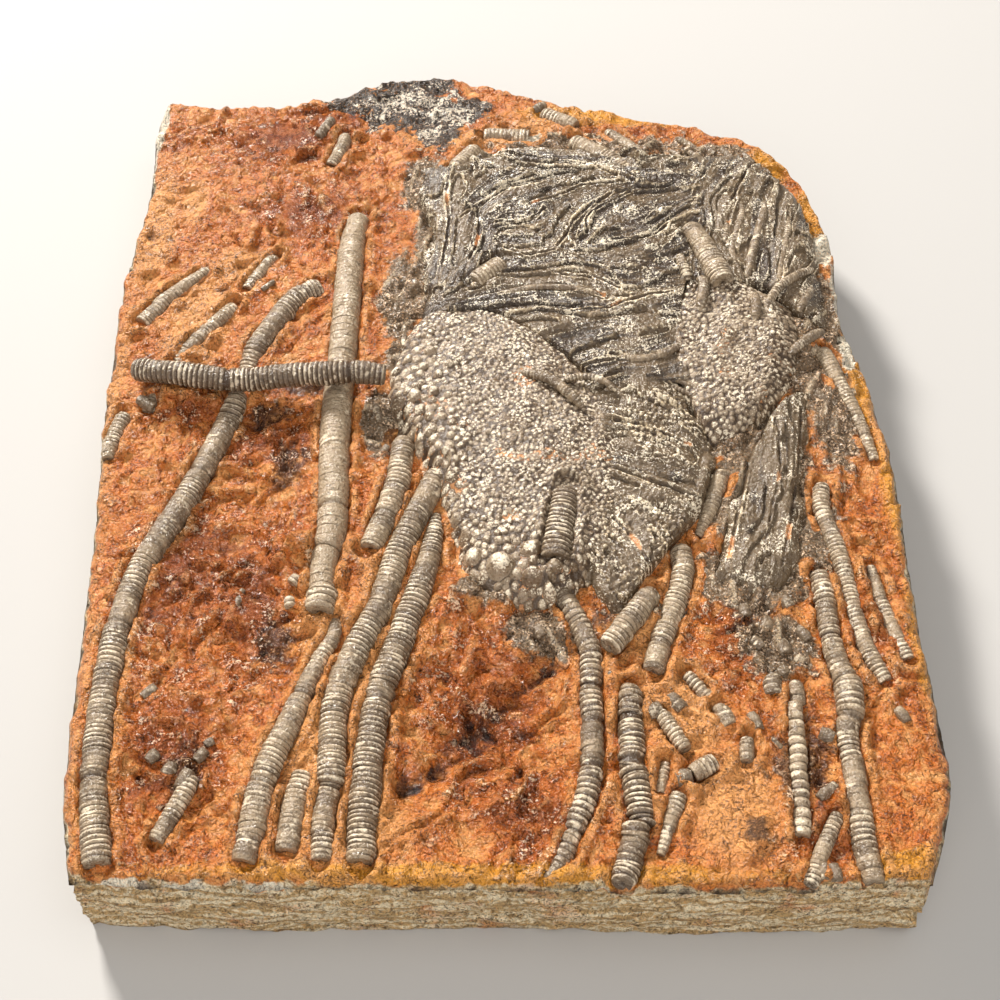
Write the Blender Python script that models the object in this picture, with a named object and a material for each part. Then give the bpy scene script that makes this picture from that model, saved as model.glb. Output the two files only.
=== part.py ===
"""Crinoid fossil plate: a split slab of rusty limestone that carries two sea-lily cups with their arms
and some forty lengths of ringed stem.

Frame: +Z up, the origin at the middle of the flat underside, +X to the right and +Y to the back of
the plate. The design is written in millimetres and turned into Blender's metres by mesh_object.

Every fossil is a solid of its own. A stem lies in a groove, and a cup or a bundle of arms in a flat
bed, cut into the slab with a clear gap all round.
"""

import math

import bmesh
import bpy
import numpy as np

MM = 0.001

# ------------------------------------------------------------------ driving dimensions, millimetres
WIDTH = 169.5  # the slab's widest
DEPTH = 224.0  # the slab's front to back
FACE_HEIGHT = 19.0  # the split face above the underside, between its swells and hollows
RIM_DROP = 2.0  # how far the split face falls off at the slab's edge
RIM_INSET = 1.6  # how far the edge of the split face stands in from the wall
FOOT_INSET = 0.6  # how far the underside stands in from the wall
SHOULDER_DROP = 2.5  # how far the wall's shoulder lies below the edge of the split face
WALL_ROUGHNESS = 0.9  # how deep the shoulder is bitten
BELLY_HEIGHT = 7.0  # where the wall stands out the furthest
GAP = 0.35  # clear space between a fossil and what it lies in
SLAB_CELLS = (22, 30)  # across and along
STEM_SIDES = 8
SMALL_STEM_SIDES = 6
SMALL_STEM = 3.2  # the widest diameter that takes the fewer sides
GROOVE_SIDES = 6
STEM_STEP = 10.0  # the longest straight stretch of a stem
BED_FLOOR = 14.0  # underside of the cups and arms
SMOOTH_UP_TO = math.radians(50)
PATCH_EDGE = 1.2  # how far the edge of a cup or of a bundle of arms stands above the face

# The slab's outline: four edges through these points, left to right and front to back.
FRONT_EDGE = [(-68.5, -111), (-40, -112), (0, -111.5), (40, -112), (77.5, -111)]
BACK_EDGE = [
    (-83.5, 101), (-55, 100), (-42, 104), (-24, 111), (-8, 112), (14, 102), (39, 95), (58, 88), (68, 80),
    (75, 68),
]
LEFT_EDGE = [
    (-68.5, -111), (-72.5, -95), (-75, -70), (-77.5, -38), (-81.5, 2), (-83.5, 40), (-82.5, 68),
    (-84.5, 90), (-83.5, 101),
]
RIGHT_EDGE = [
    (77.5, -111), (82.5, -98), (84.5, -86), (84, -56), (85, -22), (83, 2), (79, 24), (79.5, 46), (75, 68),
]

# Swells and hollows of the split face: middle x and y, reach across and along, height.
FACE_RELIEF = {
    "crown swell": (22, 28, 52, 50, 3.5),
    "back left swell": (-45, 80, 26, 18, 1.6),
    "hollow between the stems": (3, -76, 15, 24, -4.2),
    "hollow beside the long stem": (-46, -38, 12, 30, -1.8),
    "ledge under the cross stem": (-62, 0, 13, 5, 4.0),
    "lump beside the tall stem": (-38, -40, 4, 4, 2.2),
    "lower right swell": (47, -98, 13, 16, 1.4),
    "lower right corner": (78, -95, 14, 30, 1.2),
    "right margin": (84, 0, 12, 60, -2.2),
}

# Each stem is a list of stations: x, y, height of its axis above the split face, diameter.
STEMS = {
    "long_left_stem": [
        (-37.6, 31.8, 0.6, 5.0), (-42.8, 27.6, 0.9, 5.2), (-48.9, 15.4, 0.9, 5.2), (-50.8, 9.5, -0.4, 5.0),
        (-52.2, 1.5, -2.8, 5.0), (-53.3, -5.9, 0.2, 5.1), (-59.6, -27.7, 1.0, 5.2),
        (-66.3, -46.6, 1.0, 5.2), (-68.2, -62.6, 1.0, 5.2), (-67.9, -80.2, 1.0, 5.2),
        (-66.4, -93.8, 1.0, 5.2), (-63.3, -108.1, 1.0, 5.2),
    ],
    "edge_stem": [(-75.4, -5.8, 0.5, 3.6), (-77.0, -11.5, 0.4, 3.6), (-77.4, -17.5, 0.2, 3.0)],
    "slanting_stem": [(-64.1, 39.3, 0.3, 2.8), (-70.4, 31.2, 0.6, 3.6), (-76.6, 21.5, 0.8, 4.4)],
    "stub_above_long_stem": [(-49.0, 42.9, 0.3, 3.2), (-54.5, 32.4, 0.4, 3.2)],
    "short_upper_stem": [
        (-56.5, 26.9, 0.5, 3.7), (-62.3, 18.1, 0.6, 3.8), (-66.6, 11.1, -0.6, 3.6), (-68.6, 3.3, -2.3, 3.4),
        (-70.7, -5.5, 0.9, 3.4),
    ],
    "cross_stem": [
        (-74.1, 2.8, 4.2, 4.8), (-63.4, 0.4, 2.6, 5.0), (-54.0, -0.4, 2.9, 5.0), (-41.8, -0.1, 5.9, 5.0),
        (-32.5, -0.6, 7.0, 5.0), (-26.1, -0.6, 7.0, 5.0), (-20.3, -0.9, 6.2, 4.8),
    ],
    "tall_stem": [
        (-30.6, 55.9, -0.6, 5.4), (-31.0, 43.1, 0.6, 6.2), (-30.7, 24.0, 0.8, 6.3), (-30.5, 4.5, 0.8, 6.3),
        (-30.6, -8.5, 0.8, 6.3), (-30.1, -19.4, 0.8, 6.3), (-29.3, -32.7, 0.8, 6.2),
        (-29.6, -38.9, 0.8, 6.0), (-30.2, -43.6, 0.6, 5.4), (-30.3, -49.6, 0.8, 5.0),
        (-29.8, -54.6, 1.6, 5.2),
    ],
    "tall_stem_foot": [
        (-27.1, -57.6, 0.2, 2.8), (-27.2, -61.7, 0.5, 3.0), (-29.3, -67.0, 0.5, 3.4),
        (-33.2, -79.9, 0.8, 4.5), (-36.6, -90.7, 0.9, 5.0), (-37.8, -101.2, 0.8, 5.0),
        (-38.7, -107.3, 0.7, 4.6),
    ],
    "first_cup_stem": [
        (-16.3, -13.7, 0.6, 4.6), (-16.9, -22.4, 0.8, 5.0), (-18.9, -32.2, 0.8, 5.0),
        (-21.6, -41.1, 0.6, 4.8),
    ],
    "second_cup_stem": [
        (-8.9, -22.4, 0.6, 4.8), (-12.2, -31.3, 0.8, 5.2), (-15.7, -41.3, 0.8, 5.2),
        (-19.0, -54.3, 0.8, 5.2), (-23.3, -65.6, 0.8, 5.3), (-25.1, -75.3, 0.8, 5.3),
        (-25.1, -84.2, 0.8, 5.2), (-24.8, -90.8, 0.8, 5.2), (-25.0, -93.3, 0.4, 4.1),
        (-25.5, -99.1, 0.5, 4.1), (-25.5, -106.9, 0.5, 4.0),
    ],
    "third_cup_stem": [
        (-8.8, -32.2, 0.0, 2.2), (-9.5, -40.0, 0.5, 4.0), (-11.1, -48.4, 0.8, 5.0),
        (-13.8, -59.6, 0.8, 5.3), (-17.1, -72.4, 0.8, 5.4), (-18.5, -84.3, 0.8, 5.4),
        (-19.0, -96.1, 0.8, 5.3), (-18.9, -107.1, 0.7, 5.2),
    ],
    "stub_between_stems": [(-30.2, -90.0, 0.4, 4.2), (-31.3, -96.2, 0.6, 4.5), (-31.6, -105.3, 0.5, 4.3)],
    "middle_stem": [
        (15.5, -50.1, 0.8, 3.4), (17.3, -54.3, 0.9, 4.0), (19.5, -59.2, 0.8, 4.1), (21.3, -64.5, 0.9, 4.2),
        (21.1, -73.0, 0.9, 4.2), (21.2, -82.0, 1.0, 4.2), (21.0, -89.2, 1.0, 4.2), (19.3, -96.3, 0.8, 3.9),
        (16.1, -104.6, 0.4, 3.3), (12.7, -109.9, 0.0, 2.8),
    ],
    "bent_stem": [
        (38.9, -40.9, 0.5, 4.2), (39.2, -46.4, 0.8, 4.4), (37.6, -52.8, 0.8, 4.4), (34.3, -62.3, 0.8, 4.4),
        (32.3, -69.2, 0.8, 4.4),
    ],
    "crumpled_stem": [
        (28.2, -72.5, 0.8, 4.4), (27.7, -79.2, 0.8, 4.8), (27.6, -87.4, 0.8, 4.9), (28.3, -94.3, 0.8, 4.9),
        (28.2, -100.9, 0.8, 4.8), (26.7, -106.7, 0.7, 4.6), (25.2, -110.6, 0.6, 4.4),
    ],
    "broken_stem_in_cup": [(17.0, -29.5, 3.2, 5.8), (15.6, -37.4, 3.6, 6.0), (14.5, -45.9, 3.8, 6.0)],
    "broken_stem_below_cup": [(32.9, -52.4, 1.8, 4.6), (29.2, -58.0, 2.2, 4.6), (24.2, -65.0, 2.8, 4.6)],
    "broken_stem_in_side_arms": [(46.0, 46.4, 2.6, 5.4), (49.2, 37.1, 3.4, 5.8), (52.1, 27.2, 4.0, 5.8)],
    "right_edge_stem": [
        (72.6, 12.2, 0.8, 3.6), (75.6, 2.8, 0.8, 3.6), (78.2, -6.4, 0.7, 3.3), (80.2, -17.0, 0.3, 2.6),
    ],
    "long_right_stem": [
        (68.3, -24.9, 0.5, 3.4), (67.7, -31.7, 0.7, 3.5), (69.7, -43.2, 0.8, 3.5), (70.7, -56.0, 0.8, 3.4),
        (72.6, -65.4, 0.7, 3.3), (74.6, -71.2, 0.4, 3.0),
    ],
    "right_stem": [
        (65.2, -46.6, 0.7, 3.8), (65.7, -54.1, 0.8, 4.0), (65.7, -62.2, 0.8, 4.0), (66.6, -68.3, 0.7, 4.2),
        (67.4, -72.1, 1.2, 5.0), (67.2, -77.5, 1.0, 5.0), (66.3, -82.2, 0.2, 4.0), (66.5, -93.3, 0.4, 4.2),
        (66.3, -102.7, 0.4, 4.4), (67.2, -110.5, 0.2, 4.2),
    ],
    "corner_stem": [(75.5, -44.3, 0.3, 2.6), (76.8, -55.0, 0.6, 3.0), (79.5, -66.2, 0.5, 3.0)],
    "pointed_stem": [(48.4, -22.3, 0.6, 3.6), (45.9, -30.0, 0.6, 3.2), (42.6, -38.0, 0.1, 2.0)],
    "beaded_stem": [
        (58.2, -71.4, 0.5, 3.0), (57.6, -82.0, 0.6, 3.0), (56.9, -92.3, 0.6, 3.1), (56.0, -102.5, 0.5, 3.0),
    ],
    "bent_foot_piece": [(62.6, -97.8, 0.3, 2.6), (59.6, -103.7, 0.5, 2.9), (56.4, -110.8, 0.4, 3.0)],
    "loose_piece_1": [(33.2, -77.6, 0.7, 3.0), (37.3, -85.6, 1.0, 3.0)],
    "loose_piece_2": [(42.2, -87.9, 1.0, 3.6), (38.0, -90.6, 0.9, 3.6)],
    "loose_piece_3": [(35.6, -94.2, 0.8, 3.2), (31.9, -105.3, 0.1, 1.9)],
    "loose_piece_4": [(33.7, -87.7, 0.3, 2.0), (32.4, -94.0, 0.4, 2.0)],
    "loose_piece_5": [(43.7, -76.3, 0.4, 3.0), (45.7, -80.6, 0.5, 3.2)],
    "loose_piece_6": [(48.3, -83.1, 0.5, 2.7), (47.8, -88.1, 0.5, 2.7)],
    "loose_piece_7": [(38.4, -69.4, 0.4, 2.6), (41.4, -73.3, 0.4, 2.6)],
    "loose_piece_8": [(-49.6, -90.9, 0.8, 3.0), (-50.9, -95.3, 1.0, 3.4), (-54.2, -103.4, 0.9, 3.4)],
    "back_knob": [(12.7, 94.3, 0.4, 4.2), (20.9, 88.6, 0.6, 4.4)],
    "back_stem_left": [(-1.8, 85.8, 0.3, 4.2), (9.5, 84.6, 0.5, 4.6)],
    "back_stub": [(-8.5, 71.5, 0.8, 4.8), (-3.6, 79.6, 0.5, 5.0)],
    "back_stem_right": [
        (19.8, 82.7, 0.4, 4.6), (26.7, 76.4, 0.8, 5.2), (31.3, 71.4, 1.0, 5.2), (36.5, 64.6, 1.4, 5.0),
    ],
    "back_side_stem": [(28.5, 87.0, 0.2, 3.0), (33.6, 80.6, 0.4, 3.6), (39.6, 71.6, 0.6, 3.6)],
    "stub_in_upper_arms": [(-2.8, 28.6, 2.6, 5.0), (3.4, 34.3, 2.4, 5.4)],
    "buried_stem": [(-35.8, 85.0, 0.2, 3.4), (-36.5, 79.3, 0.3, 3.6), (-38.6, 73.7, 0.0, 3.2)],
}

# The cups and bundles of arms: four edges as the slab's, cells across and along, how high the middle
# stands, which grid lines stand up as knobs or as ridges and by how much, its underside, and what it is
# cut clear of.
PATCHES = {
    "main_calyx": {
        "south": [(5.5, -53.4), (9.4, -54.6), (13.5, -54.2), (17.7, -51.8), (21.7, -45.6)],
        "north": [(-16.8, 13.7), (-10.0, 18.7), (0.9, 18.1), (11.4, 11.0)],
        "west": [
            (5.5, -53.4), (0.1, -50.4), (-3.4, -45.0), (-6.5, -34.6), (-10.9, -24.1), (-17.2, -11.5),
            (-20.2, 0.9), (-16.8, 13.7),
        ],
        "east": [(21.7, -45.6), (25.0, -36.0), (26.1, -24.9), (24.9, -12.2), (20.8, -1.1), (11.4, 11.0)],
        "cells": (11, 17), "rise": 4.6, "relief": "knobs", "height": 0.9, "floor": BED_FLOOR,
        "clear_of": [
            "cross_stem", "first_cup_stem", "second_cup_stem", "third_cup_stem", "broken_stem_in_cup",
            "middle_stem",
        ],
    },
    "side_calyx": {
        "south": [(47.7, -14.5), (52.3, -13.4), (57.2, -8.5)],
        "north": [(45.3, 27.2), (52.1, 29.5), (59.4, 28.6)],
        "west": [(47.7, -14.5), (44.4, -5.4), (42.0, 4.6), (42.5, 17.0), (45.3, 27.2)],
        "east": [(57.2, -8.5), (63.6, -0.6), (67.8, 11.1), (67.0, 21.6), (59.4, 28.6)],
        "cells": (7, 11), "rise": 3.2, "relief": "knobs", "height": 0.6, "floor": BED_FLOOR + 0.5,
        "clear_of": ["broken_stem_in_side_arms"],
    },
    "upper_arms": {
        "south": [(-13.6, 20.1), (1.3, 20.5), (14.4, 10.9), (26.0, -0.3), (41.8, 1.3)],
        "north": [(-15.7, 71.1), (-5.4, 74.8), (9.5, 79.3), (26.5, 77.5), (48.1, 76.5)],
        "west": [(-13.6, 20.1), (-14.3, 35.4), (-13.4, 47.3), (-16.3, 60.0), (-15.7, 71.1)],
        "east": [(41.8, 1.3), (41.2, 18.5), (43.8, 32.7), (48.2, 53.6), (48.1, 76.5)],
        "cells": (10, 15), "rise": 3.0, "relief": "ridges_across", "height": 0.8, "floor": BED_FLOOR + 1.0,
        "clear_of": [
            "main_calyx", "side_calyx", "broken_stem_in_side_arms", "stub_in_upper_arms", "back_stub",
            "back_stem_right", "back_side_stem", "back_stem_left",
        ],
    },
    "lower_arms": {
        "south": [(20.8, -48.8), (26.4, -55.3), (32.4, -47.6), (36.6, -40.3)],
        "north": [(22.2, -1.1), (31.7, -0.5), (41.9, -0.9)],
        "west": [(20.8, -48.8), (24.1, -40.7), (28.1, -27.4), (27.7, -14.8), (22.2, -1.1)],
        "east": [(36.6, -40.3), (43.3, -32.3), (46.4, -22.3), (45.6, -12.0), (41.9, -0.9)],
        "cells": (7, 10), "rise": 2.6, "relief": "ridges_along", "height": 0.7, "floor": BED_FLOOR + 1.5,
        "clear_of": [
            "main_calyx", "side_calyx", "upper_arms", "bent_stem", "broken_stem_below_cup",
            "broken_stem_in_cup", "pointed_stem", "middle_stem",
        ],
    },
    "side_arms": {
        "south": [(46.3, 27.9), (59.5, 29.9), (68.4, 22.0), (74.4, 19.4)],
        "north": [(49.6, 76.5), (60.0, 76.0), (67.6, 68.0), (72.0, 59.1)],
        "west": [(46.3, 27.9), (49.2, 44.7), (50.7, 59.2), (49.6, 76.5)],
        "east": [(74.4, 19.4), (74.6, 30.9), (74.4, 43.8), (72.0, 59.1)],
        "cells": (9, 8), "rise": 2.4, "relief": "ridges_along", "height": 0.7, "floor": BED_FLOOR + 2.0,
        "clear_of": ["side_calyx", "upper_arms", "broken_stem_in_side_arms"],
    },
    "trailing_arms": {
        "south": [(44.6, -47.6), (52.0, -50.8), (57.8, -49.3), (62.2, -43.2)],
        "north": [(58.1, -10.4), (63.9, -3.9), (68.8, -1.8)],
        "west": [(44.6, -47.6), (45.9, -40.7), (49.4, -29.7), (53.2, -19.6), (58.1, -10.4)],
        "east": [(62.2, -43.2), (63.6, -32.0), (65.4, -17.9), (68.8, -1.8)],
        "cells": (7, 8), "rise": 1.6, "relief": "ridges_along", "height": 0.6, "floor": BED_FLOOR + 0.8,
        "clear_of": ["side_calyx", "pointed_stem", "right_stem", "long_right_stem", "right_edge_stem"],
    },
}

# Principled colours: red, green, blue, then roughness.
COLOURS = {
    "matrix": (0.62, 0.27, 0.11, 0.62),
    "stem": (0.30, 0.26, 0.21, 0.45),
    "calyx": (0.34, 0.30, 0.25, 0.42),
    "arms": (0.24, 0.20, 0.16, 0.45),
}


# ------------------------------------------------------------------------------- curves and patches
def smooth_line(points, count):
    """count points, equal steps apart, on a Catmull-Rom curve through the given ones."""
    given = np.array(points, float)
    ends = np.vstack([2 * given[0] - given[1], given, 2 * given[-1] - given[-2]])
    before, start, stop, after = ends[:-3], ends[1:-2], ends[2:-1], ends[3:]
    share = np.linspace(0, 1, 24, endpoint=False)[None, :, None]
    curve = 0.5 * (
        2 * start[:, None]
        + (stop - before)[:, None] * share
        + (2 * before - 5 * start + 4 * stop - after)[:, None] * share**2
        + (3 * start - before - 3 * stop + after)[:, None] * share**3
    )
    curve = np.vstack([curve.reshape(-1, given.shape[1]), given[-1]])
    steps = np.linalg.norm(np.diff(curve[:, :2], axis=0), axis=1)
    travelled = np.concatenate([[0], np.cumsum(steps)])
    stations = np.linspace(0, travelled[-1], count)
    return np.stack([np.interp(stations, travelled, column) for column in curve.T], axis=1)


def coons_grid(south, east, north, west, cells):
    """Grid of x, y that meets four edge curves: the two ruled sheets less the bilinear one."""
    across, along = cells
    s, n = (smooth_line(edge, across + 1)[:, None] for edge in (south, north))
    w, e = (smooth_line(edge, along + 1)[None] for edge in (west, east))
    u = np.linspace(0, 1, across + 1)[:, None, None]
    v = np.linspace(0, 1, along + 1)[None, :, None]
    corners = (1 - u) * (1 - v) * s[0, 0] + u * (1 - v) * s[-1, 0] + (1 - u) * v * n[0, 0] + u * v * n[-1, 0]
    return (1 - v) * s + v * n + (1 - u) * w + u * e - corners


def rim_indices(cells):
    """Grid indices round the border, anticlockwise from above, starting at the front left corner."""
    across, along = cells
    front = [(i, 0) for i in range(across)]
    right = [(across, j) for j in range(along)]
    back = [(i, along) for i in range(across, 0, -1)]
    left = [(0, j) for j in range(along, 0, -1)]
    return np.array(front + right + back + left)


def moved_out(loop, distance):
    """A closed anticlockwise line of x, y, moved outwards along its own normal."""
    along = np.roll(loop, -1, axis=0) - np.roll(loop, 1, axis=0)
    along /= np.linalg.norm(along, axis=1)[:, None]
    return loop + distance * np.stack([along[:, 1], -along[:, 0]], axis=1)


def face_height(x, y):
    """Height of the split face: its usual height plus a bell curve for each swell and hollow."""
    height = np.full(np.shape(x), FACE_HEIGHT)
    for middle_x, middle_y, reach_x, reach_y, rise in FACE_RELIEF.values():
        height = height + rise * np.exp(-(((x - middle_x) / reach_x) ** 2) - ((y - middle_y) / reach_y) ** 2)
    return height


# --------------------------------------------------------------------------------- meshes and cuts
def principled(kind):
    """The material of this kind of piece, made once."""
    material = bpy.data.materials.get(kind)
    if material is None:
        material = bpy.data.materials.new(kind)
        material.use_nodes = True
        shader = material.node_tree.nodes["Principled BSDF"]
        red, green, blue, roughness = COLOURS[kind]
        shader.inputs["Base Color"].default_value = (red, green, blue, 1)
        shader.inputs["Roughness"].default_value = roughness
    return material


def mesh_object(name, points, faces, kind=None):
    """A closed mesh from points in millimetres. Without a kind it is a cutter, which isn't rendered."""
    bm = bmesh.new()
    corners = [bm.verts.new(tuple(MM * value for value in point)) for point in points]
    for face in faces:
        bm.faces.new([corners[index] for index in face])
    bmesh.ops.recalc_face_normals(bm, faces=bm.faces)
    mesh = bpy.data.meshes.new(name)
    bm.to_mesh(mesh)
    bm.free()
    piece = bpy.data.objects.new(name, mesh)
    bpy.context.scene.collection.objects.link(piece)
    if kind is None:
        piece.hide_render = True
        piece.display_type = "WIRE"
    else:
        mesh.materials.append(principled(kind))
        mesh.shade_smooth()
        mesh.set_sharp_from_angle(angle=SMOOTH_UP_TO)
    return piece


def grid_faces(cells):
    """Quads over a grid of points numbered along first, then across."""
    across, along = cells
    row = along + 1
    return [
        (i * row + j, (i + 1) * row + j, (i + 1) * row + j + 1, i * row + j + 1)
        for i in range(across)
        for j in range(along)
    ]


def wall_faces(upper, lower):
    """Quads between two loops of point numbers of the same length."""
    number = len(upper)
    return [(upper[k], lower[k], lower[(k + 1) % number], upper[(k + 1) % number]) for k in range(number)]


def solid_under_grid(name, grid, top, loops, cells, kind):
    """A solid whose top is the grid at the given heights and whose walls run down through the loops."""
    points = [(*grid[i, j], top[i, j]) for i in range(cells[0] + 1) for j in range(cells[1] + 1)]
    faces = grid_faces(cells)
    upper = [i * (cells[1] + 1) + j for i, j in rim_indices(cells)]
    for loop in loops:
        lower = list(range(len(points), len(points) + len(loop)))
        points += [tuple(point) for point in loop]
        faces += wall_faces(upper, lower)
        upper = lower
    faces.append(upper[::-1])
    return mesh_object(name, points, faces, kind)


def cut_clear(piece, cutters):
    """Takes each cutter out of the piece."""
    for cutter in cutters:
        boolean = piece.modifiers.new("clear of " + cutter.name, "BOOLEAN")
        boolean.operation = "DIFFERENCE"
        boolean.solver = "EXACT"
        boolean.object = cutter


# ------------------------------------------------------------------------------------------- stems
def sweep(name, line, radii, sides, kind=None):
    """A round rod of changing radius along a line, its rings square to the line and kept upright."""
    forward = np.gradient(line, axis=0)
    forward /= np.linalg.norm(forward, axis=1)[:, None]
    sideways = np.cross(forward, (0, 0, 1))
    sideways /= np.linalg.norm(sideways, axis=1)[:, None]
    upward = np.cross(sideways, forward)
    points = []
    for place, side, up, radius in zip(line, sideways, upward, radii):
        for k in range(sides):
            turn = 2 * math.pi * (k + 0.5) / sides
            points.append(place + radius * (math.cos(turn) * side + math.sin(turn) * up))
    rings = [list(range(r * sides, (r + 1) * sides)) for r in range(len(line))]
    faces = [rings[0], rings[-1][::-1]]
    for near, far in zip(rings, rings[1:]):
        faces += wall_faces(near, far)
    return mesh_object(name, points, faces, kind)


def stem_line(stations):
    """Points and radii along a stem, from its stations on the split face."""
    length = np.linalg.norm(np.diff(np.array(stations)[:, :2], axis=0), axis=1).sum()
    x, y, lift, diameter = smooth_line(stations, max(2, math.ceil(length / STEM_STEP)) + 1).T
    return np.stack([x, y, face_height(x, y) + lift], axis=1), diameter / 2


def build_stem(name, stations):
    """One length of stem, and the cutter of the groove that it lies in."""
    line, radii = stem_line(stations)
    sides = STEM_SIDES if 2 * radii.max() > SMALL_STEM else SMALL_STEM_SIDES
    sweep(name, line, radii, sides, "stem")
    longer = line.copy()
    for end, inner in ((0, 1), (-1, -2)):
        out = line[end] - line[inner]
        longer[end] += GAP * out / np.linalg.norm(out)
    wide = (radii + GAP) / math.cos(math.pi / GROOVE_SIDES)
    return sweep("groove of " + name, longer, wide, GROOVE_SIDES)


# ------------------------------------------------------------------------------------ cups and arms
def standing_lines(relief, cells):
    """1 on the grid points that stand up: single points for knobs, whole lines for ridges."""
    odd_across = (np.arange(cells[0] + 1) % 2)[:, None]
    odd_along = (np.arange(cells[1] + 1) % 2)[None]
    if relief == "knobs":
        return (odd_across * odd_along).astype(float)
    if relief == "ridges_along":
        return odd_across * np.ones_like(odd_along, float)
    return odd_along * np.ones_like(odd_across, float)


def build_patch(name, design, cutters):
    """A cup or a bundle of arms, a domed sheet with knobs or ridges on a flat base, and its bed's cutter."""
    cells = design["cells"]
    grid = coons_grid(design["south"], design["east"], design["north"], design["west"], cells)
    u = np.linspace(0, 1, cells[0] + 1)[:, None]
    v = np.linspace(0, 1, cells[1] + 1)[None]
    dome = (4 * u * (1 - u) * 4 * v * (1 - v)) ** 0.6
    inside = (dome > 0).astype(float)
    top = face_height(grid[..., 0], grid[..., 1]) + PATCH_EDGE + design["rise"] * dome
    top += design["height"] * standing_lines(design["relief"], cells) * inside
    rim = np.array([grid[i, j] for i, j in rim_indices(cells)])
    floor = np.full((len(rim), 1), design["floor"])
    kind = "calyx" if design["relief"] == "knobs" else "arms"
    patch = solid_under_grid(name, grid, top, [np.hstack([rim, floor])], cells, kind)
    cut_clear(patch, [cutters[other] for other in design["clear_of"]])
    wide = moved_out(rim, GAP)
    lid = np.hstack([wide, np.full((len(rim), 1), 2 * FACE_HEIGHT)])
    base = np.hstack([wide, floor - GAP])
    number = len(rim)
    faces = [list(range(number)), list(range(2 * number - 1, number - 1, -1))]
    faces += wall_faces(list(range(number)), list(range(number, 2 * number)))
    return mesh_object("bed of " + name, np.vstack([lid, base]), faces)


# -------------------------------------------------------------------------------------------- slab
def slab_grid():
    """The split face's grid, stretched so that the outline is exactly WIDTH by DEPTH about the origin."""
    grid = coons_grid(FRONT_EDGE, RIGHT_EDGE, BACK_EDGE, LEFT_EDGE, SLAB_CELLS)
    low, high = grid.min(axis=(0, 1)), grid.max(axis=(0, 1))
    return (grid - (low + high) / 2) * (np.array([WIDTH, DEPTH]) / (high - low))


def build_slab(cutters):
    """The slab: a relief face, a broken wall that runs round it, and a flat underside."""
    grid = slab_grid()
    outline = np.array([grid[i, j] for i, j in rim_indices(SLAB_CELLS)])
    for (i, j), point in zip(rim_indices(SLAB_CELLS), moved_out(outline, -RIM_INSET)):
        grid[i, j] = point
    top = face_height(grid[..., 0], grid[..., 1])
    border = np.zeros_like(top)
    border[[0, -1], :] = 1
    border[:, [0, -1]] = 1
    top -= RIM_DROP * border
    rim_top = np.array([top[i, j] for i, j in rim_indices(SLAB_CELLS)])
    step = np.arange(len(outline))[:, None]
    bite = WALL_ROUGHNESS * (0.5 + 0.5 * np.sin(1.9 * step) * np.cos(0.7 * step + 1))
    shoulder = np.column_stack([moved_out(outline, -bite), rim_top - SHOULDER_DROP])
    belly = np.column_stack([outline, np.full(len(outline), BELLY_HEIGHT)])
    foot = np.column_stack([moved_out(outline, -FOOT_INSET), np.zeros(len(outline))])
    slab = solid_under_grid("matrix_slab", grid, top, [shoulder, belly, foot], SLAB_CELLS, "matrix")
    cut_clear(slab, cutters)


def build_plate():
    """Clears the scene and builds the whole plate."""
    for thing in list(bpy.data.objects):
        bpy.data.objects.remove(thing)
    cutters = {name: build_stem(name, stations) for name, stations in STEMS.items()}
    for name, design in PATCHES.items():
        cutters[name] = build_patch(name, design, cutters)
    build_slab(list(cutters.values()))


build_plate()
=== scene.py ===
# %% [markdown]
# # A plate of fossil sea lilies
#
# The real thing is one split slab of rusty limestone. Sea lilies lie in it: two cups built of small
# plates, the arms that grew from them, and some forty lengths of stem, each a pile of thin rings.
# The packed model gives every fossil its place and size. This lesson gives them their surface.
#
# Every length is in millimetres until `make_piece` turns it into metres. Only the places of the
# camera and the lamps are in metres.

import bpy
import numpy as np
from mathutils import Matrix


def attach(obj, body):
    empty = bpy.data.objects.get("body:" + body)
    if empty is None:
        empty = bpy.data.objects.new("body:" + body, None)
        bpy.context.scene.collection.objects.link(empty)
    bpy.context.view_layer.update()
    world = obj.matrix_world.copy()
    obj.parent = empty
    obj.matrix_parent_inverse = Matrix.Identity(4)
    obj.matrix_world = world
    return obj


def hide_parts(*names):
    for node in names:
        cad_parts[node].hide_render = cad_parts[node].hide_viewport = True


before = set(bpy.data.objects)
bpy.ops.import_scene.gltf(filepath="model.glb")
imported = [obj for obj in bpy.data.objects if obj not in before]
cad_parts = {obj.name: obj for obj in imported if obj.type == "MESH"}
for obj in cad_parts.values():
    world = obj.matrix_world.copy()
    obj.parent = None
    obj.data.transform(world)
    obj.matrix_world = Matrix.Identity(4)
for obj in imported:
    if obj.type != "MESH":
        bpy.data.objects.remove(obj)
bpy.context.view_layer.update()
MM = 0.001
print("solids in the frame:", len(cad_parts))

# %% [markdown]
# ## Camera, floor and light
#
# The slab is seen from the front at about fifty degrees down. The stone is as glossy as if it were
# wet, and gloss only shows where a light is mirrored. So one small panel hangs behind the slab, where
# a facet that tips a little to the left mirrors it. A wide panel above gives the soft shadows, and a
# third in front and a pale surrounding open the front wall and the far side of every lump.

# %% Camera
# Where the camera is, and which way its right side, its top and its back face.
EYE = (0.0105, -0.221, 0.26067)
RIGHT = (0.99976, 0.01376, -0.01725)
UP = (0.0, 0.78175, 0.62361)
BACKWARDS = (0.02207, -0.62346, 0.78156)

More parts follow.
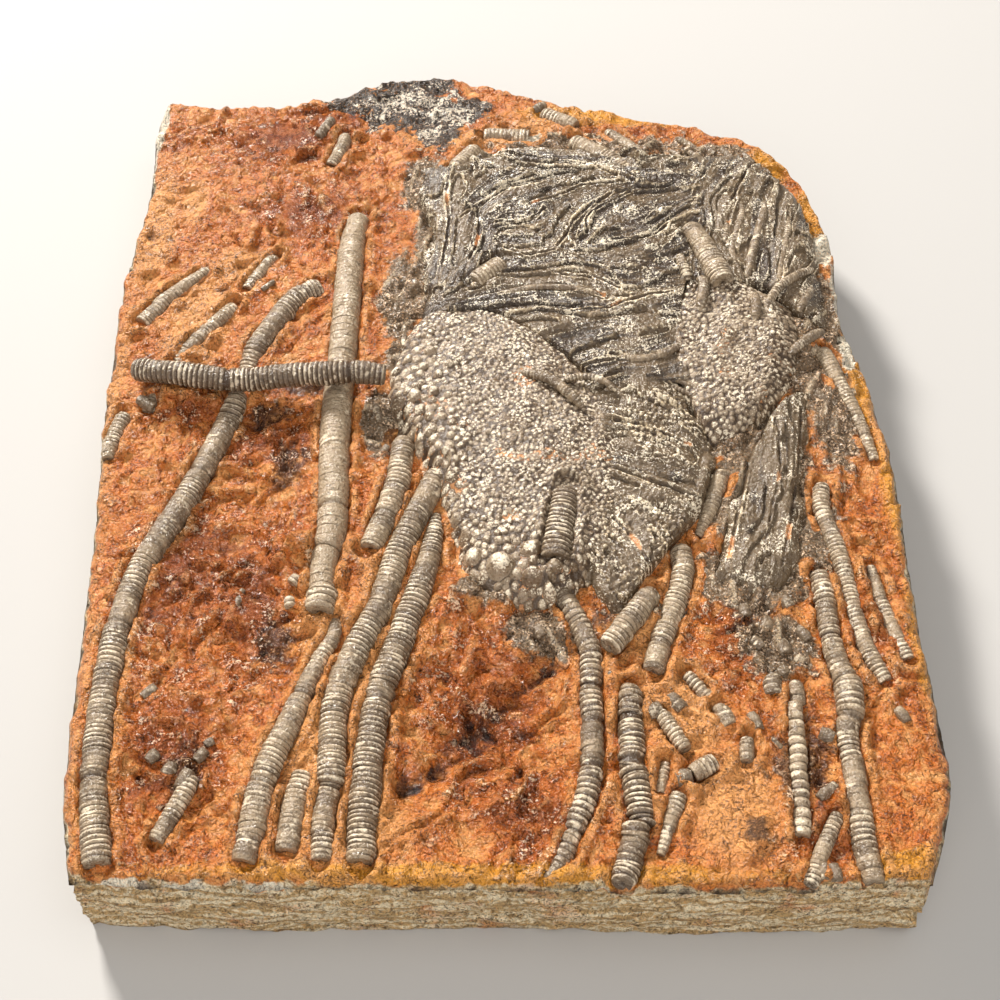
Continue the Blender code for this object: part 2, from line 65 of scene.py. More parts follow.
lens = bpy.data.cameras.new("camera")
lens.sensor_width = 36
lens.lens = 55.44
camera = bpy.data.objects.new("camera", lens)
camera.matrix_world = Matrix([[*row] for row in zip(RIGHT, UP, BACKWARDS, EYE)] + [[0, 0, 0, 1]])
bpy.context.scene.collection.objects.link(camera)
bpy.context.scene.camera = camera
bpy.context.scene.view_settings.view_transform = "Standard"
print("the camera looks down at", round(float(np.degrees(np.arcsin(BACKWARDS[2])))), "degrees")

# %% Floor and light
floor_mesh = bpy.data.meshes.new("floor")
floor_mesh.from_pydata([(-3, -3, 0), (3, -3, 0), (3, 3, 0), (-3, 3, 0)], [], [(0, 1, 2, 3)])
floor = bpy.data.objects.new("floor", floor_mesh)
bpy.context.scene.collection.objects.link(floor)
paint = bpy.data.materials.new("pale floor")
paint.use_nodes = True
coat = paint.node_tree.nodes["Principled BSDF"]
coat.inputs["Base Color"].default_value = (0.46, 0.45, 0.44, 1)
coat.inputs["Roughness"].default_value = 0.9
floor_mesh.materials.append(paint)

surroundings = bpy.data.worlds.new("surroundings")
surroundings.use_nodes = True
sky = surroundings.node_tree.nodes["Background"]
sky.inputs["Color"].default_value = (1.0, 0.97, 0.92, 1)
sky.inputs["Strength"].default_value = 0.27
bpy.context.scene.world = surroundings


def light_panel(name, place, size, power, colour):
    """A square lamp at this place, in metres, turned to face the slab."""
    panel = bpy.data.lights.new(name, "AREA")
    panel.size = size
    panel.energy = power
    panel.color = colour
    lamp = bpy.data.objects.new(name, panel)
    place = np.array(place)
    away = place / np.linalg.norm(place)
    side = np.cross((0, 0, 1), away)
    side /= np.linalg.norm(side)
    columns = (side, np.cross(away, side), away, place)
    lamp.matrix_world = Matrix([[*row] for row in zip(*columns)] + [[0, 0, 0, 1]])
    bpy.context.scene.collection.objects.link(lamp)


light_panel("panel behind", (-0.60, 1.00, 0.78), 0.26, 41.0, (1.0, 0.96, 0.90))
light_panel("panel above", (0.25, -0.15, 0.95), 0.9, 4.4, (1.0, 0.97, 0.93))
light_panel("panel in front", (-0.10, -0.80, 0.40), 0.7, 4.4, (1.0, 0.97, 0.93))
print("camera, floor and three light panels are in place")

# %% [markdown]
# ## The shared ground
#
# Everything sits on one split face, so one function gives its height: a level, plus a bell curve for
# each swell and hollow. The outline of the slab and of each cup is four edges, and a Coons patch
# fills them: the two ruled sheets between opposite edges, less the bilinear one.

# %% Edges and swells
WIDTH = 169.5
DEPTH = 224.0
FACE_HEIGHT = 19.0

FRONT_EDGE = [(-68.5, -111), (-40, -112), (0, -111.5), (40, -112), (77.5, -111)]
BACK_EDGE = [
    (-83.5, 101), (-55, 100), (-42, 104), (-24, 111), (-8, 112), (14, 102), (39, 95), (58, 88), (68, 80),
    (75, 68),
]
LEFT_EDGE = [
    (-68.5, -111), (-72.5, -95), (-75, -70), (-77.5, -38), (-81.5, 2), (-83.5, 40), (-82.5, 68),
    (-84.5, 90), (-83.5, 101),
]
RIGHT_EDGE = [
    (77.5, -111), (82.5, -98), (84.5, -86), (84, -56), (85, -22), (83, 2), (79, 24), (79.5, 46), (75, 68),
]

# Swells and hollows: middle x and y, reach across and along, height.
FACE_RELIEF = {
    "crown swell": (22, 28, 52, 50, 3.5),
    "back left swell": (-45, 80, 26, 18, 1.6),
    "hollow between the stems": (3, -76, 15, 24, -4.2),
    "hollow beside the long stem": (-46, -38, 12, 30, -1.8),
    "ledge under the cross stem": (-62, 0, 13, 5, 4.0),
    "lump beside the tall stem": (-38, -40, 4, 4, 2.2),
    "lower right swell": (47, -98, 13, 16, 1.4),
    "lower right corner": (78, -95, 14, 30, 1.2),
    "right margin": (84, 0, 12, 60, -2.2),
}
print("the slab is", WIDTH, "by", DEPTH, "mm, and its face has", len(FACE_RELIEF), "swells and hollows")

# %% Curves and patches
def smooth_line(points, count):
    """count points, equal steps apart, on a Catmull-Rom curve through the given ones."""
    given = np.array(points, float)
    ends = np.vstack([2 * given[0] - given[1], given, 2 * given[-1] - given[-2]])
    before, start, stop, after = ends[:-3], ends[1:-2], ends[2:-1], ends[3:]
    share = np.linspace(0, 1, 24, endpoint=False)[None, :, None]
    curve = 0.5 * (
        2 * start[:, None]
        + (stop - before)[:, None] * share
        + (2 * before - 5 * start + 4 * stop - after)[:, None] * share**2
        + (3 * start - before - 3 * stop + after)[:, None] * share**3
    )
    curve = np.vstack([curve.reshape(-1, given.shape[1]), given[-1]])
    steps = np.linalg.norm(np.diff(curve[:, :2], axis=0), axis=1)
    travelled = np.concatenate([[0], np.cumsum(steps)])
    stations = np.linspace(0, travelled[-1], count)
    return np.stack([np.interp(stations, travelled, column) for column in curve.T], axis=1)


def coons_grid(south, east, north, west, cells):
    """Grid of x, y that meets four edge curves: the two ruled sheets less the bilinear one."""
    across, along = cells
    s, n = (smooth_line(edge, across + 1)[:, None] for edge in (south, north))
    w, e = (smooth_line(edge, along + 1)[None] for edge in (west, east))
    u = np.linspace(0, 1, across + 1)[:, None, None]
    v = np.linspace(0, 1, along + 1)[None, :, None]
    corners = (1 - u) * (1 - v) * s[0, 0] + u * (1 - v) * s[-1, 0] + (1 - u) * v * n[0, 0] + u * v * n[-1, 0]
    return (1 - v) * s + v * n + (1 - u) * w + u * e - corners


def bell(x, y, middle_x, middle_y, reach_x, reach_y):
    """exp(-(dx / reach)^2 - (dy / reach)^2): 1 at the middle, falling off all round."""
    return np.exp(-(((x - middle_x) / reach_x) ** 2) - ((y - middle_y) / reach_y) ** 2)


def face_height(x, y):
    """Height of the split face: its usual height plus a bell curve for each swell and hollow."""
    return FACE_HEIGHT + sum(rise * bell(x, y, *reach) for *reach, rise in FACE_RELIEF.values())


print("face height in the middle of the crown:", round(float(face_height(22, 28)), 1), "mm")

# %% [markdown]
# ## Random fields
#
# Broken stone has no formula, but it has statistics: lumps upon lumps, each generation half the size
# of the last. Gradient noise gives one generation. Adding octaves gives rough ground, and folding
# each octave at its zero line gives sharp creases. A jittered lattice of points gives cells, for
# bubbles and grains.

# %% Smooth steps
def fade(t):
    """6t^5 - 15t^4 + 10t^3, which leaves 0 and reaches 1 with no slope and no bend."""
    return t * t * t * (t * (6 * t - 15) + 10)


def soft_step(value, low, high):
    """0 below low, 1 above high, and the smooth fade in between."""
    return fade(np.clip((value - low) / (high - low), 0, 1))


print("a smooth step a quarter, half and three quarters of the way:", soft_step(np.arange(1, 4), 0, 4))

# %% Noise
LATTICE = np.random.default_rng(3).random((2, 256, 256))


def noise(x, y, size, seed=0):
    """Gradient noise, about -1 to 1: the corners of a square lattice of this size each hold a slope, and the
    four slopes' heights are joined by the fade."""
    x, y = x / size + 17.31 * seed, y / size + 41.97 * seed
    i, j = np.floor(x).astype(int), np.floor(y).astype(int)
    f, g = x - i, y - j
    total = 0.0
    for di in (0, 1):
        for dj in (0, 1):
            turn = 2 * np.pi * LATTICE[0, (i + di) % 256, (j + dj) % 256]
            slope = np.cos(turn) * (f - di) + np.sin(turn) * (g - dj)
            total = total + slope * fade(1 - abs(f - di)) * fade(1 - abs(g - dj))
    return 1.5 * total


def rough(x, y, size, octaves, seed=0):
    """Octaves of noise added, each half the size and half the height of the last."""
    return sum(noise(x, y, size / 2**k, seed + k) / 2**k for k in range(octaves))


def creased(x, y, size, octaves, seed=0):
    """Octaves of 1 - 2 |noise|, so that each octave's zero line stands up as a sharp crest."""
    return sum((1 - 2 * abs(noise(x, y, size / 2**k, seed + k))) / 2**k for k in range(octaves))


print("noise over one square decimetre spans", np.round(np.ptp(noise(*np.mgrid[0:100, 0:100], 9.0)), 2))

# %% Cells
def cells(x, y, size, seed=0):
    """Distances to the nearest and second nearest of points scattered one to a square of this size."""
    x, y = x / size + 7.13 * seed, y / size + 3.77 * seed
    i, j = np.floor(x).astype(int), np.floor(y).astype(int)
    first = np.full(np.shape(x), 9.0)
    second = first.copy()
    for di in (-1, 0, 1):
        for dj in (-1, 0, 1):
            row, column = (i + di) % 256, (j + dj) % 256
            away_x = i + di + 0.1 + 0.8 * LATTICE[0, row, column] - x
            away_y = j + dj + 0.1 + 0.8 * LATTICE[1, row, column] - y
            away = np.hypot(away_x, away_y)
            second = np.minimum(second, np.maximum(first, away))
            first = np.minimum(first, away)
    return first, second


to_nearest = cells(*np.mgrid[0:9:0.1, 0:9:0.1], 1)[0]
print("the nearest of the scattered points is at most", round(float(to_nearest.max()), 2), "away")

# %% [markdown]
# ## From arrays to a mesh
#
# Each piece is worked out as arrays and then handed over in one go. Two kinds of body are enough: a
# sheet over a grid with walls round its rim, and a tube whose rings follow a path. Both are closed,
# and their faces point outwards. Values that vary over a piece, such as how deep it is stained, go
# with the mesh as named traits, one number to a point.

# %% A piece, and the faces of a sheet
def make_piece(name, points, quads, lids, finish, traits, nodes=()):
    """A mesh from points in millimetres, four-cornered faces and many-cornered lids. traits are values per
    point that its finish reads."""
    mesh = bpy.data.meshes.new(name)
    mesh.vertices.add(len(points))
    mesh.vertices.foreach_set("co", (points * MM).astype(np.float32).ravel())
    corners = np.concatenate([quads.ravel(), *lids]).astype(np.int32)
    sizes = np.concatenate([np.full(len(quads), 4), [len(lid) for lid in lids]]).astype(int)
    mesh.loops.add(len(corners))
    mesh.loops.foreach_set("vertex_index", corners)
    mesh.polygons.add(len(sizes))
    mesh.polygons.foreach_set("loop_start", (np.cumsum(sizes) - sizes).astype(np.int32))
    mesh.update(calc_edges=True)
    mesh.shade_smooth()
    for trait, values in traits.items():
        layer = mesh.attributes.new(trait, "FLOAT", "POINT")
        layer.data.foreach_set("value", np.asarray(values, np.float32).ravel())
    mesh.materials.append(finish.material)
    piece = bpy.data.objects.new(name, mesh)
    bpy.context.scene.collection.objects.link(piece)
    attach(piece, "root")
    if nodes:
        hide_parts(*nodes)


def sheet_faces(cells_across, cells_along):
    """Quads over a grid of points numbered along first, facing up."""
    row = cells_along + 1
    start = (np.arange(cells_across)[:, None] * row + np.arange(cells_along)).ravel()
    return np.stack([start, start + row, start + row + 1, start + 1], axis=1)


def rim_numbers(cells_across, cells_along):
    """Point numbers round the grid's border, anticlockwise from above."""
    row = cells_along + 1
    numbers = np.arange((cells_across + 1) * row).reshape(cells_across + 1, row)
    return np.concatenate([numbers[:-1, 0], numbers[-1, :-1], numbers[:0:-1, -1], numbers[0, :0:-1]])


def band_faces(upper, lower):
    """Quads between two closed loops of point numbers, facing out."""
    return np.stack([upper, lower, np.roll(lower, -1), np.roll(upper, -1)], axis=1)


print("a grid of 2 by 3 cells has", len(sheet_faces(2, 3)), "faces and", len(rim_numbers(2, 3)), "rim points")

# %% [markdown]
# ## Writing finishes
#
# A finish is a sum of simple fields: grains, clouds, a mask from the mesh. Written as node boxes it
# would be hard to read, so an output socket is wrapped in a class whose + and * add the Math nodes.

# %% A wire
class Wire:
    """An output socket of a finish. Arithmetic on it adds Math nodes."""

    def __init__(self, finish, socket):
        self.finish = finish
        self.socket = socket

    def maths(self, operation, first, second):
        """One Math node."""
        return self.finish.node("ShaderNodeMath", 0, {"operation": operation}, {0: first, 1: second})

    def __add__(self, other):
        return self.maths("ADD", self, other)

    def __sub__(self, other):
        return self.maths("SUBTRACT", self, other)

    def __rsub__(self, other):
        return self.maths("SUBTRACT", other, self)

    def __mul__(self, other):
        return self.maths("MULTIPLY", self, other)

    def above(self, low, high):
        """0 below low, 1 above high, smooth in between."""
        sockets = {"Value": self, "From Min": low, "From Max": high}
        return self.finish.node("ShaderNodeMapRange", 0, {"interpolation_type": "SMOOTHSTEP"}, sockets)

    __radd__ = __add__
    __rmul__ = __mul__


wire_ways = [name.strip("_") for name, way in vars(Wire).items() if callable(way)]
print("what a wire can do:", ", ".join(wire_ways))

# %% A finish
class Finish:
    """A stone finish: one material with one Principled shader."""

    def __init__(self, name):
        self.material = bpy.data.materials.new(name)
        self.material.use_nodes = True
        self.tree = self.material.node_tree
        self.shader = self.tree.nodes["Principled BSDF"]
        self.place = self.node("ShaderNodeTexCoord", "Object", {}, {})

    def put(self, socket, value):
        """Links a wire to a socket, or sets the socket to a plain value."""
        if isinstance(value, Wire):
            self.tree.links.new(value.socket, socket)
        else:
            socket.default_value = value

    def node(self, kind, output, settings, sockets):
        """One node: its settings first, then its sockets. Returns the named or numbered output."""
        node = self.tree.nodes.new(kind)
        for setting, value in settings.items():
            setattr(node, setting, value)
        for socket, value in sockets.items():
            self.put(node.inputs[socket], value)
        return Wire(self, node.outputs[output])

    def grain(self, size, octaves, bend=0.0):
        """Cloudy noise about 0.5 whose lumps are this many millimetres across."""
        sockets = {"Vector": self.place, "Scale": 1 / (size * MM), "Detail": octaves, "Distortion": bend}
        return self.node("ShaderNodeTexNoise", 0, {}, sockets)

    def bent(self, size, reach):
        """The place on the piece, pushed about by noise of this size as far as reach, both in millimetres."""
        push = self.node("ShaderNodeTexNoise", 1, {}, {"Vector": self.place, "Scale": 1 / (size * MM)})
        sockets = {0: push, "Scale": 2 * reach * MM}
        push = self.node("ShaderNodeVectorMath", 0, {"operation": "SCALE"}, sockets)
        return self.node("ShaderNodeVectorMath", 0, {"operation": "ADD"}, {0: self.place, 1: push})

    def border(self, size, where):
        """Distance to the nearest border between cells this many millimetres across, as a share of that."""
        sockets = {"Vector": where, "Scale": 1 / (size * MM)}
        return self.node("ShaderNodeTexVoronoi", "Distance", {"feature": "DISTANCE_TO_EDGE"}, sockets)

    def trait(self, name):
        """A value that the mesh carries at each point. It is 0 on a mesh that has none."""
        return self.node("ShaderNodeAttribute", "Fac", {"attribute_name": name}, {})

    def mix(self, share, under, over, way="MIX"):
        """Colour under, covered by colour over in this share."""
        settings = {"data_type": "RGBA", "blend_type": way, "clamp_factor": True}
        return self.node("ShaderNodeMix", 2, settings, {0: share, 6: under, 7: over})

    def bump(self, height, depth, strength=1.0, under=None):
        """A normal that leans as a relief of this height, times depth in millimetres, would."""
        sockets = {"Height": height, "Distance": depth * MM, "Strength": strength}
        if under is not None:
            sockets["Normal"] = under
        return self.node("ShaderNodeBump", "Normal", {}, sockets)

    def dress(self, colour, roughness, normal, shine):
        """Fills the shader: colour, roughness, bump and how much it mirrors."""
        self.put(self.shader.inputs["Base Color"], colour)
        self.put(self.shader.inputs["Roughness"], roughness)
        self.put(self.shader.inputs["Normal"], normal)
        self.shader.inputs["Specular IOR Level"].default_value = shine


finish_ways = [name.strip("_") for name, way in vars(Finish).items() if callable(way)]
print("what a finish can do:", ", ".join(finish_ways))

# %% [markdown]
# ## The stone's finish
#
# Rust has soaked into the limestone unevenly: orange over most of the face, red-brown where it is
# thick, peach where the skin is thin, yellow along the broken margins, and a crust of black and
# white crystals at the back. Where each colour lies is carried by the mesh. The nodes break up the
# edges between them, and add the speckle of grains and the dark of the pores. Painted shade darkens
# the crevices and hollows, high places get a painted highlight in peach, and near-white painted
# glints sit on the rusty parts and the scraps.

# %% The stone's colours
def tint(red, green, blue):
    """A colour written as it looks, 0 to 255, turned into linear light."""
    shown = np.array([red, green, blue]) / 255
    linear = np.where(shown <= 0.04045, shown / 12.92, ((shown + 0.055) / 1.055) ** 2.4)
    return (*linear.tolist(), 1.0)


ORANGE = tint(200, 106, 26)
RUST = tint(186, 92, 26)
RED_BROWN = tint(134, 62, 20)
PEACH = tint(234, 166, 98)
YELLOW = tint(228, 158, 44)
UMBER = tint(66, 40, 22)
CRUST_DARK = tint(62, 52, 44)
CRUST_PALE = tint(246, 234, 214)
WALL_OLIVE = tint(192, 158, 106)
WALL_GREY = tint(242, 224, 188)
BARE = tint(244, 232, 208)
# A painted glint: near-white spots that stand in for light mirrored by the glossy rock.
WARM_GLINT = tint(255, 218, 180)
DEBRIS = tint(132, 110, 86)
# DEBRIS_PALE is a painted highlight for the crests of the combed scraps.
DEBRIS_PALE = tint(206, 184, 154)
print("a mid grey of 128 is", round(tint(128, 128, 128)[0], 3), "in linear light")

# %% The stone's finish
def stone_finish():
    """Orange rock with stains, cracks and specks, painted shade in its hollows, painted glints and a gloss.
    """
    stone = Finish("rusty limestone")
    cloud = stone.grain(8.0, 6.0, 0.8)
    mottle = stone.grain(2.6, 5.0, 0.5)
    speckle = stone.grain(0.9, 4.0)
    dust = stone.grain(0.42, 3.0)
    border = stone.border(2.3, stone.bent(1.6, 1.0))
    dull = stone.trait("wall").above(0.3, 0.7)
    crack = (1.0 - border.above(0.0, 0.08)) * mottle.above(0.46, 0.64) * (1.0 - dull)
    edge = 0.8 * (cloud - 0.5) + 0.8 * (mottle - 0.5) + 0.4 * (speckle - 0.5)
    colour = stone.mix((0.5 * cloud + mottle + 0.3 * speckle).above(0.58, 1.00), PEACH, ORANGE)
    colour = stone.mix((0.9 * cloud + 0.4 * mottle).above(0.62, 0.84) * 0.75, colour, RUST)
    rust = stone.trait("rust")
    colour = stone.mix((rust + 1.1 * edge).above(0.25, 0.65) * 0.75, colour, RUST)
    colour = stone.mix((rust + 1.5 * edge).above(0.50, 0.95) * 0.70, colour, RED_BROWN)
    colour = stone.mix((stone.trait("yellow") + edge).above(0.35, 0.70) * 0.8, colour, YELLOW)
    # peach: the thin pale skin, and on high places a painted highlight.
    colour = stone.mix((stone.trait("peach") + edge).above(0.30, 0.80) * 0.75, colour, PEACH)
    colour = stone.mix((stone.trait("stain") + 1.5 * edge).above(0.40, 0.85) * 0.85, colour, UMBER)
    # Painted highlight: the crests of the combed scraps are paler.
    debris = stone.mix((stone.trait("crest") + 0.8 * (dust - 0.5)).above(0.25, 0.9), DEBRIS, DEBRIS_PALE)
    debris = stone.mix((speckle + dust).above(1.08, 1.22) * 0.5, debris, CRUST_PALE)
    colour = stone.mix((stone.trait("debris") + 0.9 * edge).above(0.28, 0.50), colour, debris)
    crystals = (speckle + dust + 1.6 * (cloud - 0.5) + 0.15 * stone.trait("crystals")).above(1.20, 1.28)
    crust = stone.mix(crystals, CRUST_DARK, CRUST_PALE)
    colour = stone.mix((stone.trait("crust") + 1.4 * edge).above(0.40, 0.52), colour, crust)
    layers = stone.node("ShaderNodeMapping", 0, {}, {"Vector": stone.place, "Scale": (0.10, 0.10, 1.0)})
    sockets = {"Vector": layers, "Scale": 1 / (1.1 * MM), "Detail": 5.0}
    streak = stone.node("ShaderNodeTexNoise", 0, {}, sockets)
    wall = stone.mix((streak + 0.7 * (speckle - 0.5)).above(0.42, 0.62), WALL_OLIVE, WALL_GREY)
    wall = stone.mix((1.0 - streak + 0.6 * (speckle - 0.5)).above(0.60, 0.74) * 0.6, wall, UMBER)
    wall = stone.mix((cloud + 0.4 * speckle).above(0.76, 0.98) * 0.6, wall, ORANGE)
    colour = stone.mix((stone.trait("wall") + 0.5 * edge).above(0.35, 0.60), colour, wall)
    colour = stone.mix((stone.trait("bare") + 0.9 * edge).above(0.40, 0.60), colour, BARE)
    open_skin = 0.35 + 0.65 * (cloud + 0.5 * (mottle - 0.5)).above(0.42, 0.60)
    # The rusty parts and the scraps, where the painted glints may fall.
    glint_zone = (rust + stone.trait("debris") + 0.8 * edge).above(0.15, 0.6)
    colour = stone.mix(dust.above(0.56, 0.66) * 0.40, colour, PEACH)
    colour = stone.mix((1.0 - dust).above(0.52, 0.64) * 0.60 * open_skin, colour, UMBER)
    colour = stone.mix(crack * 0.60, colour, UMBER)
    pore = (1.0 - speckle + 0.4 * (0.5 - dust)).above(0.56, 0.68) * open_skin
    colour = stone.mix(pore * 0.60, colour, UMBER)
    # Painted glints: near-white spots in clusters on the rusty, glossy parts, standing in for mirrored light.
    glint_spots = (0.5 * dust + 0.5 * speckle + 0.5 * (mottle - 0.5)).above(0.56, 0.63)
    glint_spots = glint_spots * glint_zone * cloud.above(0.42, 0.57)
    colour = stone.mix(glint_spots * 0.85, colour, WARM_GLINT)
    # Painted shade: darker in crevices and hollows, multiplied over the colour.
    colour = stone.mix((stone.trait("painted_shade") + 0.6 * edge).above(0.30, 1.0) * 0.85, colour, UMBER, "MULTIPLY")
    glossy = (rust + stone.trait("stain") + stone.trait("debris") + 0.8 * edge).above(0.1, 0.8)
    crumple = stone.grain(1.5, 6.0, 0.7)
    normal = stone.bump((mottle - 0.5) * (1.0 + 0.8 * rust), 4.0)
    normal = stone.bump(crumple, 1.9, 1.0, normal)
    normal = stone.bump(dust, 0.55, 0.8, normal)
    stone.dress(colour, 0.32 - 0.15 * glossy + 0.35 * dull + 0.25 * (speckle - 0.5), normal, 0.5)
    return stone


STONE = stone_finish()
print("the stone finish has", len(STONE.tree.nodes), "nodes")

# %% [markdown]
# ## The fossils' finishes
#
# The fossils are calcite, grey-beige and harder than the rock round them. Stems are dark in the
# joints, with a painted highlight on the crest of each ring. Cups have dark seams and a painted
# highlight on each plate. Arms are darkest: thin brown sheets with painted highlights on their
# broken edges. Painted shade darkens each fossil where it meets the rock, and near-white specks are
# painted glints. Rock dust, orange, stays in every low place.

# %% The fossils' colours
STEM_MID = tint(160, 140, 114)
# The pale shades are painted highlights, laid on the crests of rings, plates and arms.
STEM_PALE = tint(226, 208, 180)
STEM_DARK = tint(114, 96, 76)
# SEAM is the dark of joints and seams, and also the painted shade where a fossil meets the rock.
SEAM = tint(54, 35, 20)
CUP_MID = tint(154, 134, 110)
CUP_PALE = tint(238, 222, 196)
CUP_DARK = tint(116, 94, 70)
ARM_DARK = tint(64, 50, 37)
ARM_MID = tint(106, 88, 66)
ARM_PALE = tint(234, 210, 172)
# GLINT is a painted glint: near-white specks that stand in for mirrored light.
GLINT = tint(252, 238, 212)
CLAY = tint(232, 164, 108)
print("red, green and blue of a stem in linear light:", np.round(STEM_MID[:3], 2))

# %% The fossils' finishes
def fossil_finish(name, shades, seam_share, glint_share, roughness):
    """Calcite: middle and dark in clouds, a painted highlight on what stands up, dark in the seams
    and in painted shade, orange dust low down, and near-white specks that are painted glints."""
    middle, dark, pale = shades
    calcite = Finish(name)
    cloud = calcite.grain(4.0, 5.0, 0.5)
    speckle = calcite.grain(0.8, 4.0)
    dust = calcite.grain(0.38, 2.0)
    seam = calcite.trait("seam")
    crest = calcite.trait("crest")
    colour = calcite.mix((cloud + 0.8 * calcite.trait("tone")).above(0.38, 0.72), middle, dark)
    # Painted highlight: the pale shade on whatever stands up.
    colour = calcite.mix((crest + 1.4 * (speckle - 0.5)).above(0.45, 1.2) * 0.8, colour, pale)
    colour = calcite.mix((1.3 - speckle - 0.6 * dust).above(0.54, 0.74) * 0.5, colour, SEAM)
    # Dark joints and seams, and painted shade where a piece meets the rock or lies in a crevice.
    colour = calcite.mix((seam + 0.5 * (speckle - 0.5)).above(0.3, 0.95) * seam_share, colour, SEAM)
    low = calcite.trait("low") + 1.0 * (cloud - 0.5) + 0.6 * (speckle - 0.5)
    colour = calcite.mix(low.above(0.55, 0.90) * 0.85, colour, CLAY)
    # Painted glints: small near-white specks, thickest on crests, standing in for mirrored light.
    painted_glint = 0.7 * dust + 0.3 * speckle + 0.12 * crest + 0.6 * (cloud - 0.5) - 0.10 * seam
    colour = calcite.mix(painted_glint.above(0.60, 0.65) * glint_share, colour, GLINT)
    normal = calcite.bump(calcite.grain(1.0, 5.0, 0.4), 0.5)
    normal = calcite.bump(dust, 0.36, 0.9, normal)
    calcite.dress(colour, roughness + 0.3 * (speckle - 0.5), normal, 0.6)
    return calcite


STEM_FINISH = fossil_finish("stem calcite", (STEM_MID, STEM_DARK, STEM_PALE), 0.80, 0.20, 0.22)
CUP_FINISH = fossil_finish("cup calcite", (CUP_MID, CUP_DARK, CUP_PALE), 0.80, 0.75, 0.30)
ARM_FINISH = fossil_finish("arm calcite", (ARM_MID, ARM_DARK, ARM_PALE), 0.80, 0.72, 0.22)
print("three calcite finishes, for stems, cups and arms")

# %% [markdown]
# ## Where the stems lie
#
# Each stem is a short list of stations on the split face: x, y, how high its axis lies above the
# face, and its diameter there. The slab needs them too, because rock has weathered away beside each
# stem and left a crevice with a pale collar.

